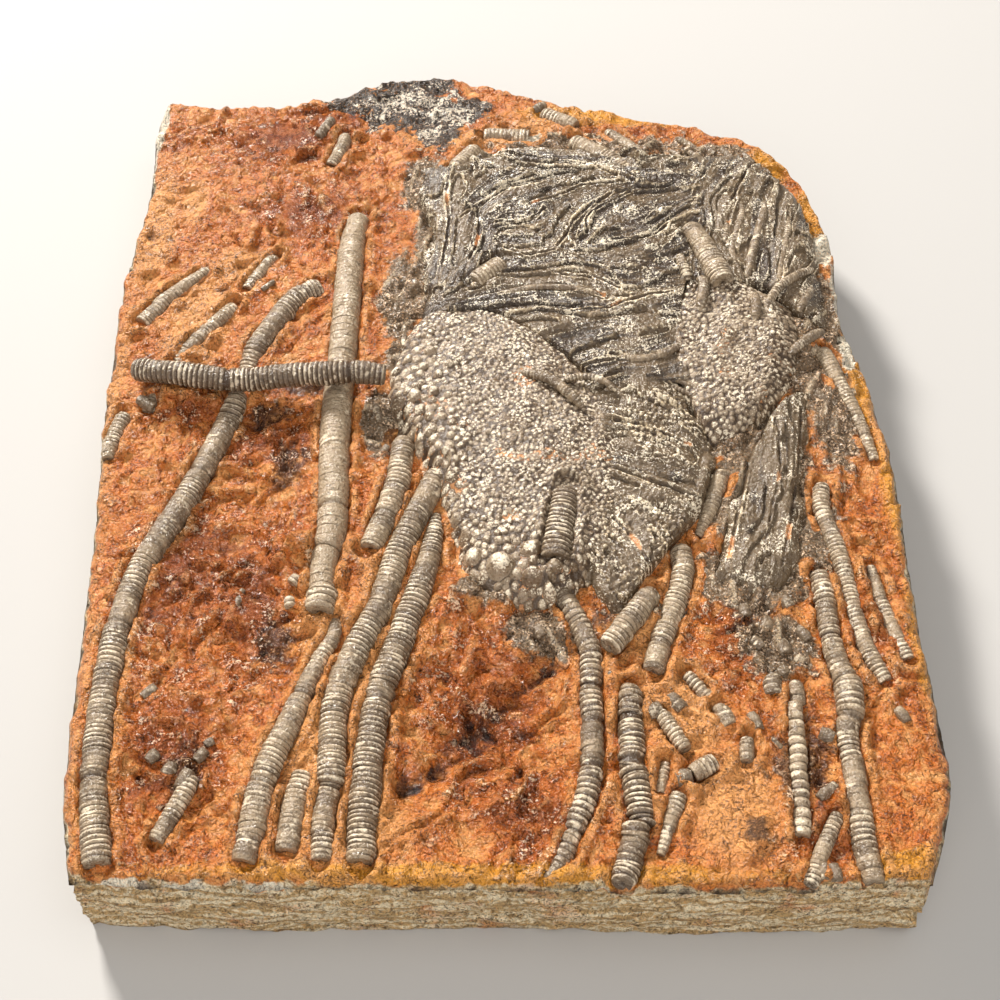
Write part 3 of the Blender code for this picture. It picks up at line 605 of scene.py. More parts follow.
# %% Stations
# From one end to the other: x, y, lift of the axis, diameter.
STEMS = {
    "long_left_stem": [
        (-37.6, 31.8, 0.6, 5.0), (-42.8, 27.6, 0.9, 5.2), (-48.9, 15.4, 0.9, 5.2), (-50.8, 9.5, -0.4, 5.0),
        (-52.2, 1.5, -2.8, 5.0), (-53.3, -5.9, 0.2, 5.1), (-59.6, -27.7, 1.0, 5.2),
        (-66.3, -46.6, 1.0, 5.2), (-68.2, -62.6, 1.0, 5.2), (-67.9, -80.2, 1.0, 5.2),
        (-66.4, -93.8, 1.0, 5.2), (-63.3, -108.1, 1.0, 5.2),
    ],
    "edge_stem": [(-75.4, -5.8, 0.5, 3.6), (-77.0, -11.5, 0.4, 3.6), (-77.4, -17.5, 0.2, 3.0)],
    "slanting_stem": [(-64.1, 39.3, 0.3, 2.8), (-70.4, 31.2, 0.6, 3.6), (-76.6, 21.5, 0.8, 4.4)],
    "stub_above_long_stem": [(-49.0, 42.9, 0.3, 3.2), (-54.5, 32.4, 0.4, 3.2)],
    "short_upper_stem": [
        (-56.5, 26.9, 0.5, 3.7), (-62.3, 18.1, 0.6, 3.8), (-66.6, 11.1, -0.6, 3.6), (-68.6, 3.3, -2.3, 3.4),
        (-70.7, -5.5, 0.9, 3.4),
    ],
    "cross_stem": [
        (-74.1, 2.8, 4.2, 4.8), (-63.4, 0.4, 2.6, 5.0), (-54.0, -0.4, 2.9, 5.0), (-41.8, -0.1, 5.9, 5.0),
        (-32.5, -0.6, 7.0, 5.0), (-26.1, -0.6, 7.0, 5.0), (-20.3, -0.9, 6.2, 4.8),
    ],
    "tall_stem": [
        (-30.6, 55.9, -0.6, 5.4), (-31.0, 43.1, 0.6, 6.2), (-30.7, 24.0, 0.8, 6.3), (-30.5, 4.5, 0.8, 6.3),
        (-30.6, -8.5, 0.8, 6.3), (-30.1, -19.4, 0.8, 6.3), (-29.3, -32.7, 0.8, 6.2),
        (-29.6, -38.9, 0.8, 6.0), (-30.2, -43.6, 0.6, 5.4), (-30.3, -49.6, 0.8, 5.0),
        (-29.8, -54.6, 1.6, 5.2),
    ],
    "tall_stem_foot": [
        (-27.1, -57.6, 0.2, 2.8), (-27.2, -61.7, 0.5, 3.0), (-29.3, -67.0, 0.5, 3.4),
        (-33.2, -79.9, 0.8, 4.5), (-36.6, -90.7, 0.9, 5.0), (-37.8, -101.2, 0.8, 5.0),
        (-38.7, -107.3, 0.7, 4.6),
    ],
    "first_cup_stem": [
        (-16.3, -13.7, 0.6, 4.6), (-16.9, -22.4, 0.8, 5.0), (-18.9, -32.2, 0.8, 5.0),
        (-21.6, -41.1, 0.6, 4.8),
    ],
    "second_cup_stem": [
        (-8.9, -22.4, 0.6, 4.8), (-12.2, -31.3, 0.8, 5.2), (-15.7, -41.3, 0.8, 5.2),
        (-19.0, -54.3, 0.8, 5.2), (-23.3, -65.6, 0.8, 5.3), (-25.1, -75.3, 0.8, 5.3),
        (-25.1, -84.2, 0.8, 5.2), (-24.8, -90.8, 0.8, 5.2), (-25.0, -93.3, 0.4, 4.1),
        (-25.5, -99.1, 0.5, 4.1), (-25.5, -106.9, 0.5, 4.0),
    ],
    "third_cup_stem": [
        (-8.8, -32.2, 0.0, 2.2), (-9.5, -40.0, 0.5, 4.0), (-11.1, -48.4, 0.8, 5.0),
        (-13.8, -59.6, 0.8, 5.3), (-17.1, -72.4, 0.8, 5.4), (-18.5, -84.3, 0.8, 5.4),
        (-19.0, -96.1, 0.8, 5.3), (-18.9, -107.1, 0.7, 5.2),
    ],
    "stub_between_stems": [(-30.2, -90.0, 0.4, 4.2), (-31.3, -96.2, 0.6, 4.5), (-31.6, -105.3, 0.5, 4.3)],
    "middle_stem": [
        (15.5, -50.1, 0.8, 3.4), (17.3, -54.3, 0.9, 4.0), (19.5, -59.2, 0.8, 4.1), (21.3, -64.5, 0.9, 4.2),
        (21.1, -73.0, 0.9, 4.2), (21.2, -82.0, 1.0, 4.2), (21.0, -89.2, 1.0, 4.2), (19.3, -96.3, 0.8, 3.9),
        (16.1, -104.6, 0.4, 3.3), (12.7, -109.9, 0.0, 2.8),
    ],
    "bent_stem": [
        (38.9, -40.9, 0.5, 4.2), (39.2, -46.4, 0.8, 4.4), (37.6, -52.8, 0.8, 4.4), (34.3, -62.3, 0.8, 4.4),
        (32.3, -69.2, 0.8, 4.4),
    ],
    "crumpled_stem": [
        (28.2, -72.5, 0.8, 4.4), (27.7, -79.2, 0.8, 4.8), (27.6, -87.4, 0.8, 4.9), (28.3, -94.3, 0.8, 4.9),
        (28.2, -100.9, 0.8, 4.8), (26.7, -106.7, 0.7, 4.6), (25.2, -110.6, 0.6, 4.4),
    ],
    "broken_stem_in_cup": [(17.0, -29.5, 3.2, 5.8), (15.6, -37.4, 3.6, 6.0), (14.5, -45.9, 3.8, 6.0)],
    "broken_stem_below_cup": [(32.9, -52.4, 1.8, 4.6), (29.2, -58.0, 2.2, 4.6), (24.2, -65.0, 2.8, 4.6)],
    "broken_stem_in_side_arms": [(46.0, 46.4, 2.6, 5.4), (49.2, 37.1, 3.4, 5.8), (52.1, 27.2, 4.0, 5.8)],
    "right_edge_stem": [
        (72.6, 12.2, 0.8, 3.6), (75.6, 2.8, 0.8, 3.6), (78.2, -6.4, 0.7, 3.3), (80.2, -17.0, 0.3, 2.6),
    ],
    "long_right_stem": [
        (68.3, -24.9, 0.5, 3.4), (67.7, -31.7, 0.7, 3.5), (69.7, -43.2, 0.8, 3.5), (70.7, -56.0, 0.8, 3.4),
        (72.6, -65.4, 0.7, 3.3), (74.6, -71.2, 0.4, 3.0),
    ],
    "right_stem": [
        (65.2, -46.6, 0.7, 3.8), (65.7, -54.1, 0.8, 4.0), (65.7, -62.2, 0.8, 4.0), (66.6, -68.3, 0.7, 4.2),
        (67.4, -72.1, 1.2, 5.0), (67.2, -77.5, 1.0, 5.0), (66.3, -82.2, 0.2, 4.0), (66.5, -93.3, 0.4, 4.2),
        (66.3, -102.7, 0.4, 4.4), (67.2, -110.5, 0.2, 4.2),
    ],
    "corner_stem": [(75.5, -44.3, 0.3, 2.6), (76.8, -55.0, 0.6, 3.0), (79.5, -66.2, 0.5, 3.0)],
    "pointed_stem": [(48.4, -22.3, 0.6, 3.6), (45.9, -30.0, 0.6, 3.2), (42.6, -38.0, 0.1, 2.0)],
    "beaded_stem": [
        (58.2, -71.4, 0.5, 3.0), (57.6, -82.0, 0.6, 3.0), (56.9, -92.3, 0.6, 3.1), (56.0, -102.5, 0.5, 3.0),
    ],
    "bent_foot_piece": [(62.6, -97.8, 0.3, 2.6), (59.6, -103.7, 0.5, 2.9), (56.4, -110.8, 0.4, 3.0)],
    "loose_piece_1": [(33.2, -77.6, 0.7, 3.0), (37.3, -85.6, 1.0, 3.0)],
    "loose_piece_2": [(42.2, -87.9, 1.0, 3.6), (38.0, -90.6, 0.9, 3.6)],
    "loose_piece_3": [(35.6, -94.2, 0.8, 3.2), (31.9, -105.3, 0.1, 1.9)],
    "loose_piece_4": [(33.7, -87.7, 0.3, 2.0), (32.4, -94.0, 0.4, 2.0)],
    "loose_piece_5": [(43.7, -76.3, 0.4, 3.0), (45.7, -80.6, 0.5, 3.2)],
    "loose_piece_6": [(48.3, -83.1, 0.5, 2.7), (47.8, -88.1, 0.5, 2.7)],
    "loose_piece_7": [(38.4, -69.4, 0.4, 2.6), (41.4, -73.3, 0.4, 2.6)],
    "loose_piece_8": [(-49.6, -90.9, 0.8, 3.0), (-50.9, -95.3, 1.0, 3.4), (-54.2, -103.4, 0.9, 3.4)],
    "back_knob": [(12.7, 94.3, 0.4, 4.2), (20.9, 88.6, 0.6, 4.4)],
    "back_stem_left": [(-1.8, 85.8, 0.3, 4.2), (9.5, 84.6, 0.5, 4.6)],
    "back_stub": [(-8.5, 71.5, 0.8, 4.8), (-3.6, 79.6, 0.5, 5.0)],
    "back_stem_right": [
        (19.8, 82.7, 0.4, 4.6), (26.7, 76.4, 0.8, 5.2), (31.3, 71.4, 1.0, 5.2), (36.5, 64.6, 1.4, 5.0),
    ],
    "back_side_stem": [(28.5, 87.0, 0.2, 3.0), (33.6, 80.6, 0.4, 3.6), (39.6, 71.6, 0.6, 3.6)],
    "stub_in_upper_arms": [(-2.8, 28.6, 2.6, 5.0), (3.4, 34.3, 2.4, 5.4)],
    "buried_stem": [(-35.8, 85.0, 0.2, 3.4), (-36.5, 79.3, 0.3, 3.6), (-38.6, 73.7, 0.0, 3.2)],
}

AXIS_STEP = 0.8
TUBE_STEP = 0.5


def stem_axis(stations, step):
    """Points x, y, z and radii along a stem, this far apart."""
    length = np.linalg.norm(np.diff(np.array(stations)[:, :2], axis=0), axis=1).sum()
    x, y, lift, diameter = smooth_line(stations, max(3, round(length / step) + 1)).T
    return np.stack([x, y, face_height(x, y) + lift], axis=1), diameter / 2


print("stems:", len(STEMS))

# %% [markdown]
# ## Where the cups and arms lie
#
# Each cup and each bundle of arms has four edges, as the slab has, and a list of the stems that lie
# against it. Its open edges dip under the rock. The others meet a neighbour. It rises this high above
# the face in its middle, and its hidden flat base lies at the height called its floor.

# %% Cups and arms: their outlines
PATCHES = {
    "main_calyx": {
        "south": [(5.5, -53.4), (9.4, -54.6), (13.5, -54.2), (17.7, -51.8), (21.7, -45.6)],
        "north": [(-16.8, 13.7), (-10.0, 18.7), (0.9, 18.1), (11.4, 11.0)],
        "west": [
            (5.5, -53.4), (0.1, -50.4), (-3.4, -45.0), (-6.5, -34.6), (-10.9, -24.1), (-17.2, -11.5),
            (-20.2, 0.9), (-16.8, 13.7),
        ],
        "east": [(21.7, -45.6), (25.0, -36.0), (26.1, -24.9), (24.9, -12.2), (20.8, -1.1), (11.4, 11.0)],
        "open": ["south", "west"], "rise": 4.6, "floor": 14.0,
        "around": [
            "cross_stem", "first_cup_stem", "second_cup_stem", "third_cup_stem", "broken_stem_in_cup",
            "middle_stem",
        ],
    },
    "side_calyx": {
        "south": [(47.7, -14.5), (52.3, -13.4), (57.2, -8.5)],
        "north": [(45.3, 27.2), (52.1, 29.5), (59.4, 28.6)],
        "west": [(47.7, -14.5), (44.4, -5.4), (42.0, 4.6), (42.5, 17.0), (45.3, 27.2)],
        "east": [(57.2, -8.5), (63.6, -0.6), (67.8, 11.1), (67.0, 21.6), (59.4, 28.6)],
        "open": ["south", "east"], "rise": 3.2, "floor": 14.5,
        "around": ["broken_stem_in_side_arms"],
    },
    "upper_arms": {
        "south": [(-13.6, 20.1), (1.3, 20.5), (14.4, 10.9), (26.0, -0.3), (41.8, 1.3)],
        "north": [(-15.7, 71.1), (-5.4, 74.8), (9.5, 79.3), (26.5, 77.5), (48.1, 76.5)],
        "west": [(-13.6, 20.1), (-14.3, 35.4), (-13.4, 47.3), (-16.3, 60.0), (-15.7, 71.1)],
        "east": [(41.8, 1.3), (41.2, 18.5), (43.8, 32.7), (48.2, 53.6), (48.1, 76.5)],
        "open": ["west", "north"], "rise": 3.0, "floor": 15.0,
        "around": [
            "broken_stem_in_side_arms", "stub_in_upper_arms", "back_stub", "back_stem_right",
            "back_side_stem", "back_stem_left",
        ],
    },
    "lower_arms": {
        "south": [(20.8, -48.8), (26.4, -55.3), (32.4, -47.6), (36.6, -40.3)],
        "north": [(20.2, -1.1), (31.7, -0.5), (41.9, -0.9)],
        "west": [(20.8, -48.8), (22.6, -40.7), (24.6, -27.4), (24.2, -14.8), (20.2, -1.1)],
        "east": [(36.6, -40.3), (43.3, -32.3), (46.4, -22.3), (45.6, -12.0), (41.9, -0.9)],
        "open": ["south", "east"], "rise": 2.6, "floor": 15.5,
        "around": [
            "bent_stem", "broken_stem_below_cup", "broken_stem_in_cup", "pointed_stem", "middle_stem",
        ],
    },
    "side_arms": {
        "south": [(45.3, 27.9), (59.5, 29.9), (68.4, 22.0), (74.4, 19.4)],
        "north": [(47.6, 76.5), (60.0, 76.0), (67.6, 68.0), (72.0, 59.1)],
        "west": [(45.3, 27.9), (46.7, 44.7), (48.0, 59.2), (47.6, 76.5)],
        "east": [(74.4, 19.4), (74.6, 30.9), (74.4, 43.8), (72.0, 59.1)],
        "open": ["north", "east"], "rise": 2.4, "floor": 16.0,
        "around": ["broken_stem_in_side_arms"],
    },
    "trailing_arms": {
        "south": [(44.6, -47.6), (52.0, -50.8), (57.8, -49.3), (62.2, -43.2)],
        "north": [(58.1, -10.4), (63.9, -3.9), (68.8, -1.8)],
        "west": [(44.6, -47.6), (45.9, -40.7), (49.4, -29.7), (53.2, -19.6), (58.1, -10.4)],
        "east": [(62.2, -43.2), (63.6, -32.0), (65.4, -17.9), (68.8, -1.8)],
        "open": ["south", "west", "east"], "rise": 1.6, "floor": 14.8,
        "around": ["pointed_stem", "right_stem", "long_right_stem", "right_edge_stem"],
    },
}


def edge_distance(grid, sides=("south", "east", "north", "west")):
    """How far each grid point lies from these sides of the grid, along the grid's own lines."""
    across = np.linalg.norm(np.diff(grid, axis=0), axis=2).cumsum(axis=0)
    along = np.linalg.norm(np.diff(grid, axis=1), axis=2).cumsum(axis=1)
    across = np.concatenate([np.zeros_like(across[:1]), across])
    along = np.concatenate([np.zeros_like(along[:, :1]), along], axis=1)
    found = {"west": across, "east": across[-1:] - across, "south": along, "north": along[:, -1:] - along}
    return np.min([found[side] for side in sides], axis=0)


print("cups and bundles of arms:", ", ".join(PATCHES))

# %% [markdown]
# ## Where each colour lies
#
# Rust soaks in from cracks and pools in hollows, so a stain is a patch with a soft border. A few bell
# curves for each kind are enough, because the finish frays their borders.

# %% Where each colour lies
# Each mark is a middle x and y and a reach across and along.
STAINS = {
    "rust": [
        (-58, -46, 12, 24), (-44, -52, 11, 20), (2, -76, 12, 19), (9, -97, 13, 11), (-50, 84, 20, 11),
        (-42, 58, 12, 9), (50, -62, 9, 12), (-54, -86, 12, 16), (-46, -12, 12, 8), (-40, 92, 12, 7),
        (60, -100, 8, 10), (-60, -5, 12, 4), (72, -60, 5, 12),
    ],
    "peach": [
        (46, 79, 7, 4), (57, 79, 5, 3), (-56, 40, 8, 8), (-70, 62, 4, 10), (-62, 28, 6, 6),
        (-29, -90, 6, 22), (-20, -62, 4, 28), (-30, -55, 5, 16), (31, -60, 3, 10), (36, -76, 10, 8),
        (-12, 84, 12, 5), (8, 88, 12, 5),
        (-79, -25, 2.5, 62), (-76, -85, 4, 30), (-64, 22, 9, 22), (-78, 52, 6, 26), (2, 84, 16, 5),
        (45, -96, 10, 14), (-22, -100, 14, 10), (38, -80, 9, 9),
    ],
    "yellow": [
        (67, 74, 6, 8), (75, 55, 4.5, 12), (80, 8, 4, 22), (84, -24, 4, 22), (84, -62, 4, 22),
        (34, 94, 34, 5), (76, -108, 14, 4), (0, -109, 60, 2.5),
    ],
    "stain": [
        (-45, -6, 6, 5), (54, -60, 8, 12), (11, -61, 6, 7), (-51, -91, 5, 8), (48.5, -101.4, 2.2, 3.4),
        (-40, -20, 5, 10), (-38, -62, 5, 8), (58, -88, 7, 12), (-20, -12, 4, 7), (-38, 2, 6, 4),
    ],
    "debris": [
        (-19, 28, 5, 15), (-18, 8, 4, 6), (73, 2, 6, 24), (22, 81, 22, 5), (54, 78, 9, 3.5), (69, 44, 4, 18),
        (52, -48, 12, 8), (50, -26, 8, 14), (64, -34, 7, 14), (-22, -8, 4, 9), (14, -60, 9, 5),
        (56, -64, 7, 8), (-16, 66, 5, 10), (26, -22, 6, 32), (71, 14, 9, 26), (58, -14, 9, 10),
        (45, -12, 7, 22), (46, 50, 5, 34), (3, -50, 8, 4), (61, 64, 7, 9), (-13, 46, 4, 30),
        (14, 14, 26, 8), (36, -54, 5, 6),
    ],
    "crust": [(-22, 97, 14, 11), (-34, 100, 9, 7), (-13, 88, 7, 10), (-6, 97, 6, 5), (-20, 108, 12, 6)],
    "crystals": [(-13, 93, 7, 12), (-22, 100, 7, 7), (6, 84, 5, 3)],
    "bare": [
        (-60, -110.6, 5, 1.0), (-48, -111, 5, 0.8), (-34, -111.2, 6, 0.8), (20, -111.5, 5, 0.6),
        (-83.5, 92, 3, 12), (-83, 70, 1.5, 16), (76, 44, 3, 6), (79, 30, 2.5, 12), (78, 12, 2, 8),
        (8, 84, 5, 2),
    ],
}


def stain(x, y, kind):
    """The largest of this kind's bell curves at each point."""
    return np.max([bell(x, y, *mark) for mark in STAINS[kind]], axis=0)


print("kinds of stain:", ", ".join(STAINS))

# %% [markdown]
# ## How the face is worn
#
# The split face isn't flat: it heaves by a millimetre, flakes off in thin steps, and is wrinkled
# where the rust is thick. These are fields added to the shared height. Beside each stem the rock
# drops into a crevice, where the mason's needle or the rain has been, and then stands up as a collar.

# %% How the face is worn
# A furrow runs across the hollow between the stems.
GROOVE = [(26, -54), (19, -62), (11.6, -68.8), (5, -74), (0.7, -78.7), (-5, -85), (-12, -92)]
# Lumps of harder stone: middle x and y, radius, height.
LUMPS = [
    (-3.3, -51.6, 3.0, 2.0), (4.4, -52.9, 3.0, 1.8), (-35.3, -40.5, 3.2, 2.4), (-37.2, -52.5, 1.8, 1.2),
    (-34.0, -55.5, 1.6, 1.2), (-33.5, -49.0, 2.0, 1.4), (48.7, -102.2, 2.6, 1.2), (46.9, -105.0, 1.8, 1.0),
    (50.4, -99.4, 1.6, 1.0), (-2.0, 98.0, 1.8, 1.2), (78.0, 47.0, 2.4, 1.4), (-46, 8, 1.6, 1.0),
    (-41, -32, 1.6, 1.0),
]


def near_line(x, y, line):
    """Distance in plan from each point to a line given by close points, and the number of the nearest."""
    distance = np.full(np.shape(x), 1e9)
    number = np.zeros(np.shape(x), int)
    for k, (px, py) in enumerate(line[:, :2]):
        away = (x - px) ** 2 + (y - py) ** 2
        closer = away < distance
        distance = np.where(closer, away, distance)
        number = np.where(closer, k, number)
    return np.sqrt(distance), number


def in_groove(x, y):
    """exp(-(d / 3)^2), where d is the distance from the groove's middle, pushed about by noise."""
    pushed = x + 1.2 * noise(x, y, 8, 18), y + 1.2 * noise(x, y, 8, 19)
    return np.exp(-((near_line(*pushed, smooth_line(GROOVE, 60))[0] / 3.0) ** 2))


def worn_face(x, y):
    """Height of the rock: the shared face, plus heaves, flaky steps, wrinkles and lumps, which are weak on
    the smooth panels at the lower right and strong where the rust is thick."""
    even = bell(x, y, 77, -93, 9, 17) + bell(x, y, 44, -100, 10, 12) + bell(x, y, -74, -72, 4, 40)
    lively = 1.1 - 0.75 * np.clip(even, 0, 1) + 0.45 * stain(x, y, "rust")
    bent_x = x + 3.5 * noise(x, y, 12, 1) + 0.8 * noise(x, y, 3.5, 14)
    bent_y = y + 3.5 * noise(x, y, 12, 2) + 0.8 * noise(x, y, 3.5, 15)
    layer = 1.9 * rough(bent_x, bent_y, 24, 3, 3)
    flakes = np.floor(layer) + soft_step(layer - np.floor(layer), 0.0, 0.18) - layer
    heave = 0.9 * noise(x, y, 26, 6) + 0.5 * noise(x, y, 12, 7)
    wrinkles = 0.46 * creased(bent_x, bent_y, 6.0, 4, 8) - 0.46
    lumps = 0.62 * rough(bent_x, bent_y, 5.2, 2, 12)
    first, second = cells(bent_x, bent_y, 2.1, 5)
    bubbles = 0.36 * (second - first) * soft_step(noise(x, y, 15, 16), -0.5, 0.5)
    pits = 0.7 * soft_step(noise(bent_x, bent_y, 3.0, 17), 0.55, 0.85)
    crumpled = 0.8 * flakes + wrinkles + lumps + bubbles - pits
    z = face_height(x, y) + heave + lively * crumpled - 1.7 * in_groove(x, y)
    return z + sum(rise * np.exp(-((np.hypot(x - mx, y - my) / r) ** 4)) for mx, my, r, rise in LUMPS)


print("the worn face in the slab's middle is", round(float(worn_face(*np.zeros(2))), 1), "mm high")

# %% Crevices and collars
CREVICE_DEPTH = 0.7
COLLAR_HEIGHT = 1.1


def cut_beside(x, y, z, names):
    """Lowers z into a crevice beside each named stem, uneven in depth and width, and raises a collar beyond
    it here and there. Returns z and how much of each point is crevice and collar."""
    crevice = np.zeros_like(z)
    raised = np.zeros_like(z)
    for name in names:
        line, radii = stem_axis(STEMS[name], AXIS_STEP)
        reach = radii.max() + 5
        low, high = line.min(axis=0) - reach, line.max(axis=0) + reach
        near = (x > low[0]) & (x < high[0]) & (y > low[1]) & (y < high[1])
        if not near.any():
            continue
        distance, number = near_line(x[near], y[near], line)
        uneven = noise(x[near], y[near], 7.0, 22)
        beyond = distance - radii[number] + 0.35 * noise(x[near], y[near], 2.2, 21)
        bottom = line[number, 2] - radii[number] - face_height(line[number, 0], line[number, 1])
        lies_on = 1 - soft_step(bottom, 0.0, 2.0)
        dip = (1 - soft_step(beyond, -0.5, 0.30 + 0.25 * uneven)) * lies_on
        collar = soft_step(beyond, -0.3, 0.5) * (1 - soft_step(beyond, 0.9, 3.0)) * lies_on
        collar *= soft_step(uneven, -0.7, 0.4)
        z[near] += COLLAR_HEIGHT * collar - CREVICE_DEPTH * (0.75 + 0.5 * uneven) * dip
        crevice[near] = np.maximum(crevice[near], dip * soft_step(beyond, -0.9, 0.1))
        raised[near] = np.maximum(raised[near], collar)
    return z, crevice, raised


around_tall_stem = np.mgrid[-40:-20:0.5, -20:20:0.5]
crevice_share = cut_beside(*around_tall_stem, np.zeros((40, 80)), ["tall_stem"])[1].mean()
print("share of the rock round the tall stem that is crevice:", round(float(crevice_share), 2))

# %% [markdown]
# ## Combed noise
#
# The arms are feathery and lie combed in sheets, so their relief is long one way and short the other.
# Such a field is made by combing noise: at each point the noise is averaged along the direction in
# which the arms run there. That keeps what varies across them and rubs out what varies along them.
# The direction comes from a few guide strokes laid along arms and cracks, blended with bell weights.

# %% Guide strokes
GUIDES = {
    "upper_arms": [
        [(-6.5, 50.1), (-1.3, 54.7), (4.4, 59.4), (12.5, 62.1)], [(1.9, 46.9), (8.9, 47.2), (12.9, 51.3)],
        [(8.9, 53.5), (16, 56.2), (22.3, 60.4), (30.9, 62.7)],
        [(15.8, 38.3), (18.5, 44.3), (22.1, 51.1), (28.5, 57.5)],
        [(22.4, 42.9), (23.4, 49.7), (32.9, 58.3)], [(4.2, 38.1), (8.1, 36), (15, 36.8)],
        [(27.9, 40.2), (36.6, 42.4), (41.2, 47.3)], [(14.9, 30.1), (19.1, 28.2), (23.3, 28.2), (29.1, 25.2)],
        [(18.9, 17.7), (27.2, 19.4), (34.8, 23), (40.8, 24.4)], [(18.3, 0.8), (21.1, 2.9), (27.2, 4)],
        [(-0.9, 78.2), (6.1, 73.5), (15.2, 70.2), (20.7, 70.2), (28.7, 65.6), (34.4, 61.3)],
        [(-2.6, 53.3), (-1.9, 43.7), (-3.9, 34.7)], [(3.1, 23.9), (11.5, 25), (21.1, 24.2), (25.7, 22.8)],
        [(26.9, 6), (32.9, 5), (39.1, 7.3), (42.1, 10.7)], [(-9, 70), (-10, 60), (-9, 48), (-10, 34)],
    ],
    "lower_arms": [
        [(7.9, -0.1), (13.9, -2.8), (20.5, -9.4)], [(24.3, -0.3), (30.7, 1.8)],
        [(37.9, -0.6), (42.5, -3.6), (47.4, -7.1)], [(27, -12), (34, -14), (42, -18)],
        [(27, -24), (33, -27), (40, -30)], [(26, -36), (30, -42), (33, -48)],
    ],
    "side_arms": [
        [(57.7, 30.5), (60.4, 41.4), (63, 50.9), (64.1, 57.1)],
        [(56.8, 29.8), (54.8, 37.2), (56.2, 43.8), (58.3, 52)],
        [(64.2, 27.3), (66, 36.7), (68.2, 46), (69, 52.7)], [(60, 19.3), (64.6, 27.3), (72.7, 34.4)],
        [(53.4, 41), (54.9, 49)], [(56, 56), (60, 66), (63, 72)],
    ],
    "trailing_arms": [
        [(60, -10), (60, -22), (57, -34), (54, -46)], [(66, -6), (64, -20), (61, -34), (58, -46)],
        [(54, -20), (51, -32), (48, -44)],
    ],
}
print("guide strokes:", sum(len(strokes) for strokes in GUIDES.values()))

# %% Combed noise
def comb_direction(x, y, strokes):
    """Cosine and sine of the way the arms run: each stroke's doubled angle, weighted by a bell curve of its
    distance, so that a stroke and its reverse agree."""
    double_x = np.full(np.shape(x), 1e-6)
    double_y = np.zeros(np.shape(x))
    for stroke in strokes:
        line = smooth_line(stroke, 7)
        middle = (line[1:] + line[:-1]) / 2
        way = np.arctan2(*np.diff(line, axis=0).T[::-1])
        for (mx, my), angle in zip(middle, way):
            weight = bell(x, y, mx, my, 6.5, 6.5) + 0.01 * bell(x, y, mx, my, 30, 30)
            double_x = double_x + weight * np.cos(2 * angle)
            double_y = double_y + weight * np.sin(2 * angle)
    angle = 0.5 * np.arctan2(double_y, double_x)
    return np.cos(angle), np.sin(angle)


def combed(x, y, flow, size, reach, seed):
    """Noise of this size averaged at points up to this reach both ways along the flow, then stretched back
    to a spread of one."""
    steps = 9
    total = noise(x, y, size, seed)
    for way in (1, -1):
        for k in range(1, steps + 1):
            far = way * reach * k / steps
            total = total + noise(x + far * flow[0], y + far * flow[1], size, seed) * (1 - 0.6 * k / steps)
    return total / total.std()


field = combed(*np.mgrid[0:40, 0:40], (1.0, 0.0), 2.0, 8.0, 0)
changes = [round(float(abs(np.diff(field, axis=way)).mean()), 2) for way in (0, 1)]
print("how much a combed field changes in a step along the comb and across it:", *changes)

# %% [markdown]
# ## The slab
#
# One closed sheet: the split face over a grid of seven tenths of a millimetre, the broken sides as
# rows of points that step in and out in flat beds, and a flat underside. Under the cups and arms the
# rock drops away, so that they come up through it. The finer grain is left to the finish.

# %% Inside an outline
def inside_loop(x, y, loop):
    """1 where a point lies inside a closed line: a ray to the right crosses it an odd number of times."""
    crossings = np.zeros(np.shape(x), int)
    for (ax, ay), (bx, by) in zip(loop, np.roll(loop, -1, axis=0)):
        straddles = (ay > y) != (by > y)
        rise = by - ay if by != ay else 1e-9
        crossings += straddles & (x < ax + (bx - ax) * (y - ay) / rise)
    return (crossings % 2).astype(float)


def depth_inside(x, y, design):
    """How far inside a cup's or bundle's outline each point lies; less than 0 outside it."""
    south, east, north, west = (smooth_line(design[side], 50) for side in ("south", "east", "north", "west"))
    loop = np.vstack([south, east, north[::-1], west[::-1]])
    depth = np.full(x.shape, -9.0)
    low, high = loop.min(axis=0) - 4, loop.max(axis=0) + 4
    near = (x > low[0]) & (x < high[0]) & (y > low[1]) & (y < high[1])
    distance, _ = near_line(x[near], y[near], loop)
    depth[near] = distance * (2 * inside_loop(x[near], y[near], loop) - 1)
    return depth


SQUARE = np.array([(0, 0), (1, 0), (1, 1), (0, 1)])
print("a square's middle and a point beside it:", inside_loop(np.array([0.5, 1.5]), np.full(2, 0.5), SQUARE))

# %% The face's grid
SLAB_CELLS = (238, 318)


def slab_outline_grid():
    """The split face's grid, stretched so that the outline is exactly WIDTH by DEPTH about the origin."""
    grid = coons_grid(FRONT_EDGE, RIGHT_EDGE, BACK_EDGE, LEFT_EDGE, SLAB_CELLS)
    low, high = grid.min(axis=(0, 1)), grid.max(axis=(0, 1))
    return (grid - (low + high) / 2) * (np.array([WIDTH, DEPTH]) / (high - low))


def hollowness(z, reach):
    """Mean height at this many cells away in eight directions, less the height itself."""
    ways = [(i, j) for i in (-reach, 0, reach) for j in (-reach, 0, reach) if i or j]
    padded = np.pad(z, reach, mode="edge")
    rows, columns = z.shape
    around = sum(padded[reach + i : reach + i + rows, reach + j : reach + j + columns] for i, j in ways)
    return around / len(ways) - z


def sinking(x, y):
    """How far the rock drops under the cups and arms, and in the narrow gaps between two of them."""
    depths = np.sort([depth_inside(x, y, design) for design in PATCHES.values()], axis=0)
    under = soft_step(depths[-1], 0.0, 2.5)
    return 2.6 * under + 2.4 * soft_step(depths[-2], -2.2, -0.6) * (1 - under)


